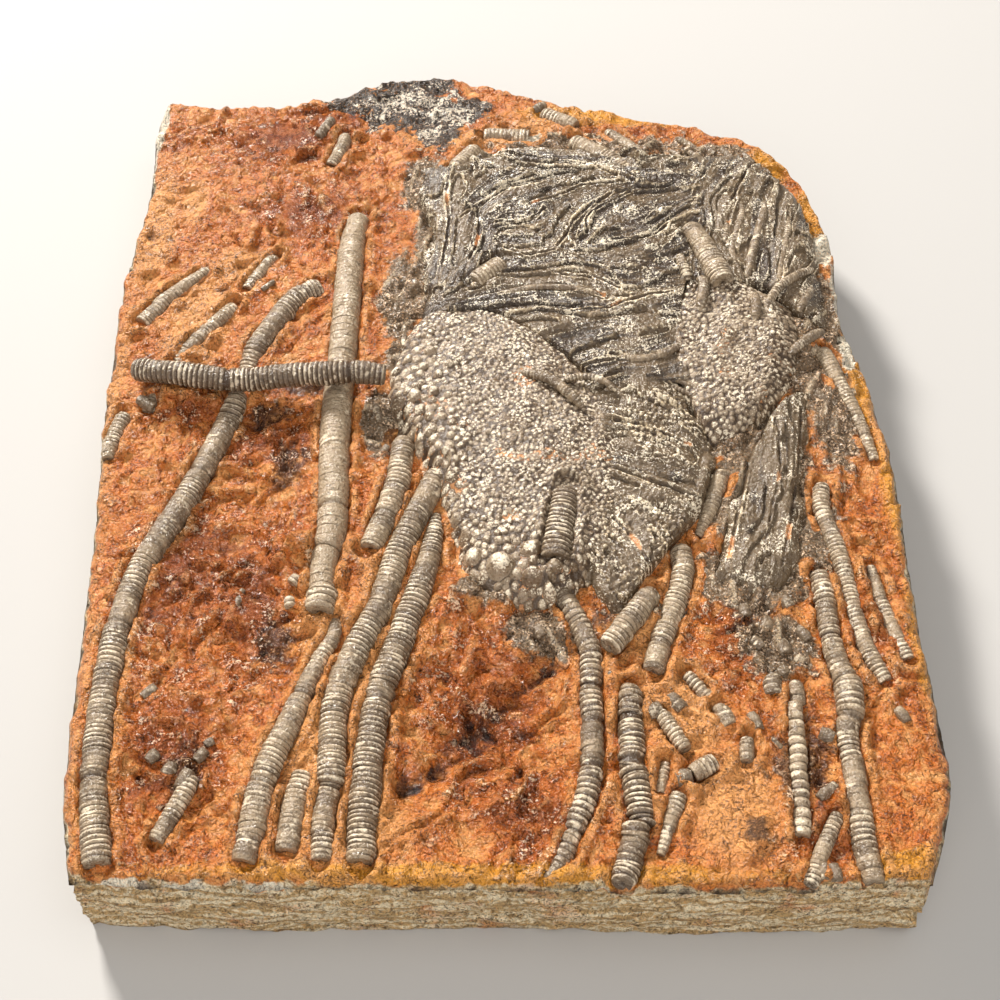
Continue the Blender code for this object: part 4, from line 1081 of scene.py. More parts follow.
def scraps_of_arm(x, y, debris):
    """Height and crest of the combed scraps that cover the rock where there is debris."""
    height, crest = np.zeros((2, *x.shape))
    some = debris > 0.15
    flow = comb_direction(x[some], y[some], [stroke for strokes in GUIDES.values() for stroke in strokes])
    strand = combed(x[some], y[some], flow, 1.9, 4.0, 71)
    height[some] = soft_step(debris[some], 0.15, 0.6) * (0.5 + 0.3 * strand)
    crest[some] = soft_step(strand, 0.6, 2.0)
    return height, crest


print("points of the split face:", slab_outline_grid().shape[:2])

# %% The broken sides
WALL_ROWS = 17
MOST_SETBACK = 3.6


def moved_out(loop, distance):
    """A closed anticlockwise line of x, y, moved outwards along its own normal."""
    along = np.roll(loop, -3, axis=0) - np.roll(loop, 3, axis=0)
    along /= np.linalg.norm(along, axis=1)[:, None]
    return loop + np.reshape(distance, (-1, 1)) * np.stack([along[:, 1], -along[:, 0]], axis=1)


def wall_rows(outline, rim, chips):
    """Rows of points down the sides, from below the rim to the floor. Each is set back by the chips near the
    top, by flat beds that step in and out, and by bites."""
    walk = np.linalg.norm(np.diff(outline, axis=0, append=outline[:1]), axis=1).cumsum()
    rows = []
    for share in np.arange(1, WALL_ROWS + 1) / WALL_ROWS:
        height = rim[:, 2] * (1 - share)
        bed = height + 1.2 * noise(walk, 0 * walk, 30, 35)
        beds = 0.9 * noise(bed, walk / 9, 1.7, 36) + 0.5 * noise(bed, walk / 4, 0.8, 37)
        bites = 0.7 * rough(walk, bed * 2, 8, 4, 38)
        profile = 1.3 * (1 - soft_step(share, 0.0, 0.35)) + 0.6 * share**4
        setback = profile * chips * 0.6 + 0.9 + beds * 0.6 + bites * 0.8
        rows.append(np.column_stack([moved_out(outline, -np.clip(setback, 0.0, MOST_SETBACK)), height]))
    return rows


angles = np.linspace(0, 2 * np.pi, 48, endpoint=False)
circle = np.column_stack([np.cos(angles), np.sin(angles)])
print("a circle of radius 1 moved out by 1:", round(np.hypot(*moved_out(circle, 1.0)[0]), 2))

# %% The slab's body
RIM_WEAR = 2.4


def build_slab():
    """The face over its grid, then rows of wall down to the floor, closed by a flat underside."""
    grid = slab_outline_grid()
    inward = edge_distance(grid)
    rim = rim_numbers(*SLAB_CELLS)
    outline = grid.reshape(-1, 2)[rim]
    chips = 1.2 + 0.6 * rough(outline[:, 0], outline[:, 1], 9, 4, 31)
    grid.reshape(-1, 2)[rim] = moved_out(outline, -np.clip(chips, 0.2, 2.4))
    x, y = grid[..., 0], grid[..., 1]
    z, crevice, collar = cut_beside(x, y, worn_face(x, y), STEMS)
    debris = stain(x, y, "debris") * (1 - soft_step(collar + crevice, 0.3, 0.9))
    scraps, crest = scraps_of_arm(x, y, debris)
    edge_rough = rough(x, y, 6, 3, 33)
    rim_wear = (1 - soft_step(inward + 0.8 * edge_rough, 0.0, 3.2)) ** 2
    z = z - sinking(x, y) + scraps - RIM_WEAR * rim_wear

    top = np.dstack([x, y, z]).reshape(-1, 3)
    points = np.vstack([top, *wall_rows(outline, top[rim], chips)])
    loops = [rim, *np.arange(len(top), len(points)).reshape(WALL_ROWS, -1)]
    walls = [band_faces(upper, lower) for upper, lower in zip(loops, loops[1:])]
    faces = np.vstack([sheet_faces(*SLAB_CELLS), *walls])

    def over_face(values):
        return np.concatenate([values.ravel(), np.zeros(len(points) - len(top))])

    dip = hollowness(z, 3)
    # hollow: how much painted shade a low place, or a crevice's sunk ground, gets.
    hollow = np.clip((face_height(x, y) - z) / 2.4, 0, 1) + 0.6 * np.clip(dip / 0.5, 0, 1)
    # pale: the pale collar beside the stems, and a painted highlight in peach on high places.
    pale = np.maximum(0.7 * collar, 0.5 * soft_step(-dip, 0.1, 0.5))
    broken = 0.8 * (1 - soft_step(inward + 0.9 * edge_rough, 0.2, 2.4))
    wall_share = np.clip(np.repeat(np.arange(1, WALL_ROWS + 1), len(rim)) / 2.5, 0, 1)
    traits = {kind: over_face(stain(x, y, kind)) for kind in STAINS}
    traits["peach"] = np.maximum(traits["peach"], over_face(pale))
    traits["stain"] = np.maximum(traits["stain"], over_face(0.65 * in_groove(x, y)))
    traits["debris"] = over_face(debris)
    traits["crest"] = over_face(crest)
    traits["wall"] = np.concatenate([broken.ravel(), wall_share])
    traits["painted_shade"] = over_face(np.maximum(0.9 * crevice, 0.6 * hollow))
    make_piece("limestone_slab", points, faces, [loops[-1][::-1]], STONE, traits, ["matrix_slab"])
    return len(faces)


print("faces of the slab:", build_slab())

# %% [markdown]
# ## The stems
#
# A sea-lily stem is a pile of thin discs, the columnals, each a millimetre or so high. Modelling
# hundreds of discs would be wasteful, and they are cemented together anyway. So a stem is one tube
# whose radius runs in and out along its length: five rings of points to a disc, the first in the
# joint and the rest over its rounded edge. Each disc gets its own size, shift and tilt, because
# burial squeezed the pile, and now and then a whole run of discs has slipped sideways.

# %% Faces, frame and ends of a tube
# Five rings of points to a disc: how far along it, how far out, how dark, and how strong its painted
# highlight is.
DISC_PHASES = np.array([0.0, 0.13, 0.36, 0.64, 0.87])
DISC_BULGE = np.array([-0.062, 0.0, 0.016, 0.016, 0.0])
DISC_SEAM = np.array([1.0, 0.1, 0.0, 0.0, 0.1])
DISC_HIGHLIGHT = np.array([0.0, 0.15, 0.82, 0.3, 0.0])
# Five rings to an end, from its middle out: share of the radius, depth and how dark.
END_BULGE = np.array([0.05, 0.17, 0.22, 0.60, 0.90])
END_DEPTH = np.array([0.7, 0.6, 0.1, 0.0, 0.05])
END_SEAM = np.array([1.0, 0.9, 0.3, 0.1, 0.2])


def tube_faces(rows, sides):
    """Quads of a tube whose rings are rows of points, facing out, and its two end lids."""
    ring = np.arange(sides)
    start = np.arange(rows - 1)[:, None] * sides
    near, near_next = start + ring, start + np.roll(ring, -1)
    quads = np.stack([near, near + sides, near_next + sides, near_next], axis=2).reshape(-1, 4)
    return quads, [ring, ring[::-1] + (rows - 1) * sides]


def turned_frame(line):
    """Forward, sideways and upward unit vectors at each point of a line, kept upright."""
    forward = np.gradient(line, axis=0)
    forward /= np.linalg.norm(forward, axis=1)[:, None]
    sideways = np.cross(forward, (0, 0, 1))
    sideways /= np.linalg.norm(sideways, axis=1)[:, None]
    return forward, sideways, np.cross(sideways, forward)


def healed_breaks(where, line, travelled, breaks):
    """1 at each place x, y where the pile has come apart and healed, falling off along the axis."""
    healed = np.zeros_like(where)
    for px, py in breaks:
        at = travelled[np.argmin(np.hypot(line[:, 0] - px, line[:, 1] - py))]
        healed = np.maximum(healed, np.exp(-(((where - at) / 0.55) ** 2)))
    return healed


def rounded_end(ring, forward, radius):
    """Rings that close a tube's first ring: a rounded edge, then a lid sunk a little at its middle."""
    middle = ring.mean(axis=0)
    depth = END_DEPTH[:, None, None] * forward * (radius / 2.5)
    return middle + (ring - middle) * END_BULGE[:, None, None] + depth


print("a tube of 3 rings of 12 points has", len(tube_faces(3, 12)[0]), "faces between its lids")

# %% A ringed tube
def ringed_tube(line, radii, pitch, sides, slack, seed, joint, breaks=()):
    """Points of a tube with bulging discs, and its traits. slack is how far discs are shifted and tilted,
    joint how deep the joints between them are, and breaks where the pile has come apart and healed."""
    random = np.random.default_rng(seed)
    steps = np.linalg.norm(np.diff(line, axis=0), axis=1)
    travelled = np.concatenate([[0], np.cumsum(steps)])
    length = travelled[-1]
    count = max(2, round(length / pitch))
    disc = np.repeat(np.arange(count), len(DISC_PHASES))
    uneven = np.cumsum(random.uniform(0.86, 1.14, count + 1))
    uneven = (uneven - uneven[0]) / (uneven[-1] - uneven[0]) * count
    where = (uneven[disc] + np.tile(DISC_PHASES, count) * np.diff(uneven)[disc]) / count * length

    def on_axis(values):
        return np.stack([np.interp(where, travelled, column) for column in values.T], axis=1)

    place = on_axis(line)
    forward, sideways, upward = (on_axis(way) for way in turned_frame(line))
    slips = np.cumsum(random.normal(0, 1, count) * (random.random(count) < 0.09))
    slips -= np.interp(np.arange(count), [0, count - 1], [slips[0], slips[-1]])
    shift = slack * (0.03 * random.normal(0, 1, count) + 0.17 * np.clip(slips, -2, 2))[disc]
    size = 1 + 0.008 * random.normal(0, 1, count) + 0.008 * (np.arange(count) % 2)
    size = size + 0.05 * noise(where[::5], 0 * where[::5], 14, seed % 37)
    size = size - 0.05 * (random.random(count) < 0.04)
    tilt = (slack * 0.05 * random.normal(0, 1, count))[disc]
    lean = random.uniform(0, 2 * np.pi, count)[disc]
    crisp = joint * (0.9 + 0.9 * noise(where, where, 11, seed % 31))
    healed = healed_breaks(where, line, travelled, breaks)
    from_end = np.minimum(where, length - where)
    radius = np.interp(where, travelled, radii) * (1 - 0.15 * healed)
    radius = radius * (1 - 0.16 * (1 - soft_step(from_end, 0.0, 1.3)))
    bulge = np.tile(DISC_BULGE, count) * np.clip(crisp, 0.25, 2.2)
    scale = radius * size[disc] * (1 + bulge * (2.4 / np.maximum(radius, 1.0)) ** 0.5)

    turn = 2 * np.pi * (np.arange(sides) - 0.25 * sides) / sides
    ring_x = np.cos(turn) * scale[:, None] + shift[:, None]
    ring_z = np.sin(turn) * scale[:, None] + 0.4 * shift[:, None]
    ring_y = np.cos(turn - lean[:, None]) * (radius * tilt)[:, None]
    away = ring_x[..., None] * sideways[:, None]
    away = away + ring_z[..., None] * upward[:, None] + ring_y[..., None] * forward[:, None]
    x, y, z = np.moveaxis(place[:, None] + away, 2, 0)
    dents = rough(x + z, y - z, 4.0, 4, seed % 50)
    chips = soft_step(rough(x - z, y, 2.6, 3, 60 + seed % 40), 0.50, 0.66)
    points = place[:, None] + away * (1 + 0.034 * dents - 0.07 * chips)[..., None]
    start = rounded_end(points[0], forward[0], radius[0])
    stop = rounded_end(points[-1], -forward[-1], radius[-1])[::-1]

    seam = np.tile(DISC_SEAM, count) * np.clip(crisp, 0.3, 1.0)
    seam = np.maximum(seam, 0.7 * healed)[:, None] * np.ones(sides)
    # Painted highlight on the crest of each disc and on bumps. Fresh chips, which are paler, are added to it
    # below.
    crest = (np.tile(DISC_HIGHLIGHT, count) * np.clip(crisp, 0.5, 1.2))[:, None] + 0.5 * dents
    tone = random.normal(0, 0.07, count)[disc][:, None] + 0.18 * noise(where, where, 8, seed % 30)[:, None]
    lid = END_SEAM[:, None] * np.ones(sides)
    pad = np.zeros((len(END_BULGE), sides))
    traits = {
        "seam": np.concatenate([lid, seam, lid[::-1]]),
        "crest": np.concatenate([pad + 0.4, crest + 0.8 * chips, pad + 0.4]),
        "tone": np.concatenate([pad, tone * np.ones(sides), pad]),
    }
    return np.concatenate([start, points, stop]), traits


def rest_on_face(points, depth=0.9):
    """1 where a point is at the rock's level or below it, 0 from this height above it."""
    above = points[..., 2] - face_height(points[..., 0], points[..., 1])
    return 1 - soft_step(above, -0.2, depth)


sample, _ = ringed_tube(np.array([(0.0, 0.0, 0.0), (10.0, 0.0, 0.0)]), np.ones(2), 1.0, 12, 1.0, 0, 1.0)
print("a tube of ten discs has", len(sample), "rings of points")

# %% [markdown]
# ## Forty stems
#
# Every stem comes from the same function. What makes each one itself is where it lies and a few
# habits: how tall its discs are, how deep the joints between them, how badly the pile was shaken, how
# dark it is, and how far it has sunk into the rock. The usual habits are named once, and each table
# lists only the stems that depart from them.

# %% Habits of the stems
# Points round a stem. A slim stem needs fewer.
SIDES = 28
SLIM_SIDES = 20
SLIM_RADIUS = 1.9
# From disc to disc.
PITCH = 0.98
SLIM_PITCH = 0.9
PITCHES = {"middle_stem": 1.25, "beaded_stem": 1.7, "tall_stem": 1.05, "right_stem": 1.15, "cross_stem": 1.06}
# How far a stem has sunk into the rock, unless its axis is more than CLEAR_LIFT above it.
CLEAR_LIFT = 1.5
SINK = 0.35
SUNK = {"slanting_stem": 0.9, "short_upper_stem": 0.8, "stub_above_long_stem": 0.9, "corner_stem": 0.6}
# How badly shaken it is and how deep its joints are, as shares of the usual.
SLACK = {"crumpled_stem": 3.4, "cross_stem": 0.6, "middle_stem": 1.8, "beaded_stem": 2.4, "right_stem": 1.6}
JOINTS = {
    "tall_stem": 0.45, "tall_stem_foot": 0.8, "beaded_stem": 2.2, "middle_stem": 0.9, "cross_stem": 1.5,
    "right_edge_stem": 0.7, "crumpled_stem": 1.5, "third_cup_stem": 1.4, "pointed_stem": 0.6,
}
# How much darker than usual: first its clouds, then all of it, as if it were one seam.
TONES = {
    "cross_stem": 0.5, "crumpled_stem": 0.25, "broken_stem_in_cup": 0.35, "tall_stem": -0.6,
    "middle_stem": 0.2, "third_cup_stem": 0.2, "long_left_stem": 0.1, "second_cup_stem": 0.1,
    "right_stem": 0.1,
}
DARKER = {"cross_stem": 0.42, "crumpled_stem": 0.22, "broken_stem_in_cup": 0.25, "middle_stem": 0.15}
# Where stems have come apart and healed: x, y.
BREAKS = {
    "long_left_stem": [(-57.1, -21.8), (-67.4, -59.1), (-65.2, -91.8)],
    "tall_stem": [(-29.1, -31.3), (-30.5, -41.1)],
    "first_cup_stem": [(-19.8, -32.8)], "second_cup_stem": [(-24.5, -72.7), (-24.8, -92.8)],
    "tall_stem_foot": [(-30.0, -74.7), (-36.8, -92.4)], "third_cup_stem": [(-17.3, -75.1)],
    "middle_stem": [(21.3, -71.9), (21.1, -79.6), (20.3, -88.4), (17.5, -101.0)],
    "bent_stem": [(33.5, -62.9)],
    "right_stem": [(66.3, -61.6), (67.5, -71.0), (66.5, -78.9)], "cross_stem": [(-54, 0), (-28, -0.6)],
    "crumpled_stem": [(27.7, -79.2), (27.6, -87.4), (28.2, -99)],
}
print("breaks that have healed:", sum(len(places) for places in BREAKS.values()))

# %% All forty stems
def build_stem(number, name):
    """One length of stem. Where its axis is close to the rock it sinks in a little."""
    line, radii = stem_axis(STEMS[name], TUBE_STEP)
    lift = line[:, 2] - face_height(line[:, 0], line[:, 1])
    line[:, 2] -= SUNK.get(name, SINK) * (lift < CLEAR_LIFT)
    slim = radii.max() < SLIM_RADIUS
    sides = SLIM_SIDES if slim else SIDES
    pitch = PITCHES.get(name, SLIM_PITCH if slim else PITCH)
    slack, joint = SLACK.get(name, 1.0), JOINTS.get(name, 1.0)
    rows, traits = ringed_tube(line, radii, pitch, sides, slack, 100 + number, joint, BREAKS.get(name, ()))
    traits["tone"] = traits["tone"] + TONES.get(name, 0.0)
    # Painted shade: the stem's lower sides, where it meets the rock, take the seams' dark colour.
    traits["seam"] = np.maximum(traits["seam"] + DARKER.get(name, 0.0), 0.7 * rest_on_face(rows, 1.3))
    traits["low"] = 0.9 * rest_on_face(rows)
    ends = len(END_BULGE)
    traits["low"][:ends] = 0.3
    traits["low"][-ends:] = 0.3
    quads, lids = tube_faces(len(rows), sides)
    make_piece("ringed_" + name, rows.reshape(-1, 3), quads, lids, STEM_FINISH, traits, [name])
    return len(quads)


stem_faces = sum(build_stem(number, name) for number, name in enumerate(STEMS))
print("faces in all the stems:", stem_faces)

# %% [markdown]
# ## The cups
#
# A cup is a bag of hundreds of small plates, now squashed flat, each plate a low dome. Largest at
# the left and the bottom, they shrink to grains in the middle. Points are thrown down at random and
# kept only where no kept point is closer than the two plates' radii allow. Each point then raises a
# paraboloid of its own radius, and the highest one wins, which leaves a seam between neighbours.

# %% The ground of a cup or bundle
# How far a cup or bundle reaches past its outline, how deep under the face its open edge starts, how
# high it stands once it is out of the rock, and how much higher where it meets a neighbour.
OVERLAP = 1.2
BURIED = 1.4
PATCH_EDGE = 1.2
JOIN = 1.9


def patch_ground(name, step):
    """Grid, height and distance from open rock of a cup or bundle of arms. Its open border lies under the
    rock, it meets its neighbours at the height JOIN, and its middle is domed: (4u(1 - u) 4v(1 - v)) ^ 0.7."""
    design = PATCHES[name]
    lengths = [
        max(np.linalg.norm(np.diff(smooth_line(design[side], 40), axis=0), axis=1).sum() for side in pair)
        for pair in (("south", "north"), ("west", "east"))
    ]
    counts = [round(length / step) for length in lengths]
    grid = coons_grid(design["south"], design["east"], design["north"], design["west"], counts)
    low, high = grid.min(axis=(0, 1)), grid.max(axis=(0, 1))
    grid = (low + high) / 2 + (grid - (low + high) / 2) * (1 + 2 * OVERLAP / (high - low))
    x, y = grid[..., 0], grid[..., 1]
    u = np.linspace(0, 1, counts[0] + 1)[:, None]
    v = np.linspace(0, 1, counts[1] + 1)[None]
    dome = (16 * u * (1 - u) * v * (1 - v)) ** 0.7
    inward = edge_distance(grid, design["open"])
    ragged = inward + 1.3 * rough(x, y, 6.0, 3, 41)
    join = min(JOIN, design["rise"])
    z = face_height(x, y) - BURIED + (PATCH_EDGE + BURIED) * soft_step(ragged, -0.6, 3.2)
    z = z + join * soft_step(inward, 0.0, 8.0) + (design["rise"] - join) * dome
    return x, y, z, ragged, counts


def close_patch(name, x, y, z, counts, finish, traits):
    """Closes a patch with a wall down to its flat base, and makes its piece."""
    top = np.stack([x, y, z], axis=2).reshape(-1, 3)
    rim = rim_numbers(*counts)
    foot = top[rim] * (1, 1, 0) + (0, 0, PATCHES[name]["floor"])
    lower = np.arange(len(rim)) + len(top)
    quads = np.vstack([sheet_faces(*counts), band_faces(rim, lower)])
    traits = {trait: np.concatenate([values.ravel(), np.zeros(len(rim))]) for trait, values in traits.items()}
    points = np.vstack([top, foot])
    make_piece("fossil_" + name, points, quads, [lower[::-1]], finish, traits, [name])


print("points of the side cup, 0.22 mm apart:", patch_ground("side_calyx", 0.22)[0].size)

# %% Domed plates
def scattered_plates(low, high, radius_at, throws, seed, given):
    """Middles and radii of plates: those given, then random throws, each kept if it is clear of those kept
    before it."""
    random = np.random.default_rng(seed)
    thrown = random.uniform(low, high, (throws, 2))
    radius = radius_at(thrown[:, 0], thrown[:, 1]) * random.uniform(0.75, 1.25, throws)
    count = len(given)
    kept = np.empty((throws + count, 3))
    kept[:count] = np.reshape(given, (-1, 3))
    for (px, py), r in zip(thrown, radius):
        near = kept[:count]
        if count and (np.hypot(near[:, 0] - px, near[:, 1] - py) < 0.78 * (near[:, 2] + r)).any():
            continue
        kept[count] = (px, py, r)
        count += 1
    return kept[:count]


def packed(x, y, plates, seed):
    """Which plate owns each point, its distance from that plate's middle as a share of the radius, and its
    distance in millimetres from the seam. A point belongs to the plate with the largest r^2 - d^2; the seam
    lies where two are equal. Noise pushes the points about first, so that no plate is a neat polygon."""
    pushed_x = x + 0.22 * noise(x, y, 1.7, seed) + 0.12 * noise(x, y, 0.7, seed + 1)
    pushed_y = y + 0.22 * noise(x, y, 1.7, seed + 2) + 0.12 * noise(x, y, 0.7, seed + 3)
    best = np.full(x.shape, -0.12)
    second = np.full(x.shape, -0.12)
    owner = np.full(x.shape, -1)
    for number, (px, py, r) in enumerate(plates):
        reach = 1.5 * r
        near = (abs(pushed_x - px) < reach) & (abs(pushed_y - py) < reach)
        if not near.any():
            continue
        score = r**2 - (pushed_x[near] - px) ** 2 - (pushed_y[near] - py) ** 2
        better = score > best[near]
        second[near] = np.where(better, best[near], np.maximum(second[near], score))
        best[near] = np.where(better, score, best[near])
        owner[near] = np.where(better, number, owner[near])
    radius = plates[owner, 2]
    share = np.where(owner < 0, 1, 1 - best / radius**2)
    seam = np.where(owner < 0, 0, (best - second) / (3.4 * radius))
    return owner, share, seam


plates = scattered_plates((0, 0), (10, 10), lambda x, y: 0.5 + 0 * x, 900, 0, ())
print("plates of half a millimetre's radius that find room on a square centimetre:", len(plates))

# %% [markdown]
# ## Two cups
#
# The main cup has knobs like beads down its left side and round its foot, which are placed one by
# one. Everything between them is thrown at random, in the size that its part of the cup has. The
# knobs stand out further than the rest, and rock fills the seams between the larger plates.

# %% Knobs and sizes of plates
# Knobs that stand out: middle x and y, radius.
KNOBS = [
    (-18.1, -5.4, 1.7), (-14.3, -5.0, 1.5), (-17.0, -1.4, 1.2), (-19.2, 3.8, 1.5), (-16.3, 5.6, 1.2),
    (-11.5, 7.1, 1.5), (-13.0, 2.9, 1.2), (-10.4, -4.3, 1.3), (-14.8, -13.3, 1.4), (-10.6, -14.2, 1.5),
    (-13.1, -8.8, 1.4), (-7.5, 2.7, 1.1), (-9.5, 0.3, 1.1), (-12.0, -20.6, 1.3), (9.7, -43.8, 2.1),
    (10.1, -49.8, 2.2), (4.0, -47.0, 2.9), (13.6, -52.6, 1.6), (14.4, -47.6, 1.6), (-1.5, -44.0, 2.0),
    (-3.0, -39.4, 1.5), (-5.2, -35.1, 1.4), (-6.0, -26.3, 1.3),
]


def main_plate_radius(x, y):
    """Large down the left side and at the bottom, small in the middle and to the right."""
    left = bell(x, y, -16, 0, 6.5, 15) + bell(x, y, -9, -20, 5.5, 12)
    bottom = bell(x, y, 6, -48, 12, 7) + 0.3 * bell(x, y, 0, -38, 6, 9)
    return 0.44 + 0.74 * np.clip(left, 0, 1) + 0.75 * np.clip(bottom, 0, 1)


def side_plate_radius(x, y):
    """Small all over, a little larger round the edge."""
    return 0.38 + 0.30 * (1 - bell(x, y, 54, 8, 10, 16))


print("plates' radius in the main cup, at its left, foot and middle:", *(
    round(float(main_plate_radius(*place)), 2) for place in ((-16, 0), (6, -48), (12, -10))
))

# %% The main cup and the side cup
CUP_STEP = 0.22


def build_cup(name, radius_at, throws, seed, given=()):
    """A cup covered in plates: each a low dome with a rounded border, and its own height and tone."""
    x, y, z, inward, counts = patch_ground(name, CUP_STEP)
    z, crevice, _ = cut_beside(x, y, z, PATCHES[name]["around"])
    low, high = (x.min(), y.min()), (x.max(), y.max())
    plates = scattered_plates(low, high, radius_at, throws, seed, given)
    owner, share, seam = packed(x, y, plates, seed + 60)
    random = np.random.default_rng(seed + 1)
    radius = plates[owner, 2]
    stands = random.normal(0, 0.10, len(plates) + 1) + 0.16 * (np.arange(len(plates) + 1) < len(given))
    stands = stands[owner]
    rounding = soft_step(seam / radius, 0.0, 0.30)
    dome = radius * (0.26 * rounding + 0.24 * (1 - np.clip(share, 0, 1)) + stands * rounding) - 0.2
    tone = random.normal(0, 0.16, len(plates) + 1)[owner] - 0.25 * noise(x, y, 9, 47)
    z = z + dome + 0.5 * rough(x, y, 7.0, 3, 44) + 0.10 * rough(x, y, 1.2, 2, 49)
    # dark: the seams between plates, and painted shade in the crevices beside the stems.
    dark = np.maximum(1 - soft_step(seam, 0.0, 0.16), crevice)
    open_rock = 1 - soft_step(stain(x, y, "debris"), 0.2, 0.5)
    patchy = soft_step(noise(x, y, 7, 46) + 0.8 * soft_step(radius, 0.65, 1.1), 0.25, 0.7) * dark
    rock = 0.9 * (1 - soft_step(inward, 0.0, 1.8)) * open_rock + 0.85 * patchy
    # crest: a painted highlight on the top of each plate.
    crest = rounding * (0.95 - 0.6 * np.clip(share, 0, 1)) * random.uniform(0.5, 1.2, len(plates) + 1)[owner]
    traits = {"seam": dark, "crest": crest, "tone": tone, "low": rock}
    close_patch(name, x, y, z, counts, CUP_FINISH, traits)
    return len(plates)


print("plates in the main cup:", build_cup("main_calyx", main_plate_radius, 16000, 5, KNOBS))
print("plates in the side cup:", build_cup("side_calyx", side_plate_radius, 9000, 6))

# %% [markdown]
# ## The arms
#
# Each bundle is the same closed patch as a cup, covered in combed noise instead of plates. Where the
# broadest combed field crosses a whole number, one sheet ends in a ledge over the next, with a
# painted highlight on its lip and painted shade at its foot. Thin cracks follow the guide strokes.

# %% Sheets of arms
ARM_STEP = 0.25
GRAINY = {"lower_arms": 1.0, "side_arms": 0.3, "upper_arms": 0.35, "trailing_arms": 0.15}
BRIGHT_EDGES = {"lower_arms": 0.8, "side_arms": 0.9, "upper_arms": 1.0, "trailing_arms": 0.5}
ARM_TONES = {"lower_arms": -0.22, "side_arms": 0.0, "upper_arms": 0.2, "trailing_arms": -0.3}


def drawn_strokes(x, y, strokes):
    """Distance to the nearest guide stroke."""
    return np.min([near_line(x, y, smooth_line(stroke, 60))[0] for stroke in strokes], axis=0)


def ledges(layer, step):
    """Cuts a field into ledges. Returns how far past the last whole number it is, and the same in
    millimetres: that share over the field's own slope."""
    slope = np.hypot(*np.gradient(layer, step)) + 1e-3
    past = layer - np.floor(layer)
    return past, past / slope


def build_arms(name, seed):
    """A bundle of arms: broad sheets that overlap like shingles along the flow, each with a thin lip at its
    edge that gets a painted highlight, cracked along the guide strokes and finely combed all over."""
    x, y, z, inward, counts = patch_ground(name, ARM_STEP)
    z, crevice, _ = cut_beside(x, y, z, PATCHES[name]["around"])
    flow = comb_direction(x, y, GUIDES[name])
    broad = combed(x, y, flow, 7.0, 9.0, seed)
    strand = combed(x, y, flow, 1.9, 6.0, seed + 1)
    hair = combed(x, y, flow, 0.8, 3.0, seed + 2)
    layer = 0.62 * broad + 0.10 * strand + 0.35 * noise(x, y, 16, seed + 8)
    past, beyond = ledges(layer, ARM_STEP)
    sheets = np.floor(layer) + soft_step(beyond, 0.0, 0.5) - 0.8 * layer
    lip = soft_step(beyond, 0.10, 0.35) * (1 - soft_step(beyond, 0.40, 0.75))
    stroke = drawn_strokes(x, y, GUIDES[name]) + 0.25 * noise(x, y, 2.5, seed + 9)
    crack = np.maximum(1 - soft_step(stroke, 0.0, 0.42), 0.7 * (1 - soft_step(beyond, 0.0, 0.25)))
    # edge: the lips and a band beside each crack. They stand up a little, and in the colour they are a
    # painted highlight.
    edge = np.maximum(bell(stroke, 0 * stroke, 0.60, 0, 0.18, 1), 0.8 * lip) * BRIGHT_EDGES[name]
    first, second = cells(x + 0.4 * noise(x, y, 1.5, 51), y + 0.4 * noise(x, y, 1.5, 52), 1.05, seed)
    scales = 1 - soft_step(second - first, 0.0, 0.28)
    grainy = GRAINY[name] * soft_step(noise(x, y, 13, 53), -0.6, 0.3)
    sparkling = soft_step(noise(x, y, 11, 57) + 0.5 * strand, -0.1, 1.1)
    relief = 0.75 * sheets + 0.12 * strand + 0.05 * hair + 0.26 * edge - 0.5 * crack
    relief += 0.8 * grainy * (0.5 - first) + 0.13 * rough(x, y, 0.9, 2, 56) * (0.6 + sparkling)
    z = z + relief * soft_step(inward, -0.2, 2.0) + 0.4 * rough(x, y, 7, 3, 54)
    open_rock = 1 - soft_step(stain(x, y, "debris"), 0.2, 0.5)
    rock = 0.9 * (1 - soft_step(inward, 0.2, 2.4)) * open_rock
    rock += 0.8 * soft_step(noise(x, y, 10, seed + 6), 0.15, 0.7) * (1 - soft_step(stroke, 0.3, 1.1))
    # crest: a painted highlight on lips, high strands and grains, and painted glints where sparkling. The
    # tone is lighter there too.
    crest = 0.85 * edge + 0.30 * sparkling + 0.25 * soft_step(strand + 0.6 * hair, 1.2, 2.6)
    crest += 1.3 * grainy * (0.6 - first)
    # dark: cracks and grain seams, plus painted shade at each ledge's foot, in low strands and in crevices.
    dark = 0.9 * crack + 0.2 * soft_step(-strand, 0.8, 2.0) + 0.8 * grainy * scales + crevice
    traits = {
        "seam": np.clip(dark, 0, 1),
        "crest": np.clip(crest, 0, 1.3),
        "tone": ARM_TONES[name] + 0.2 * broad + 0.12 * hair - 0.3 * grainy - 0.2 * sparkling,
        "low": rock,
    }
    close_patch(name, x, y, z, counts, ARM_FINISH, traits)
    return x.size


for number, name in enumerate(["upper_arms", "lower_arms", "side_arms", "trailing_arms"]):
    print("points in", name, build_arms(name, 150 + 10 * number))
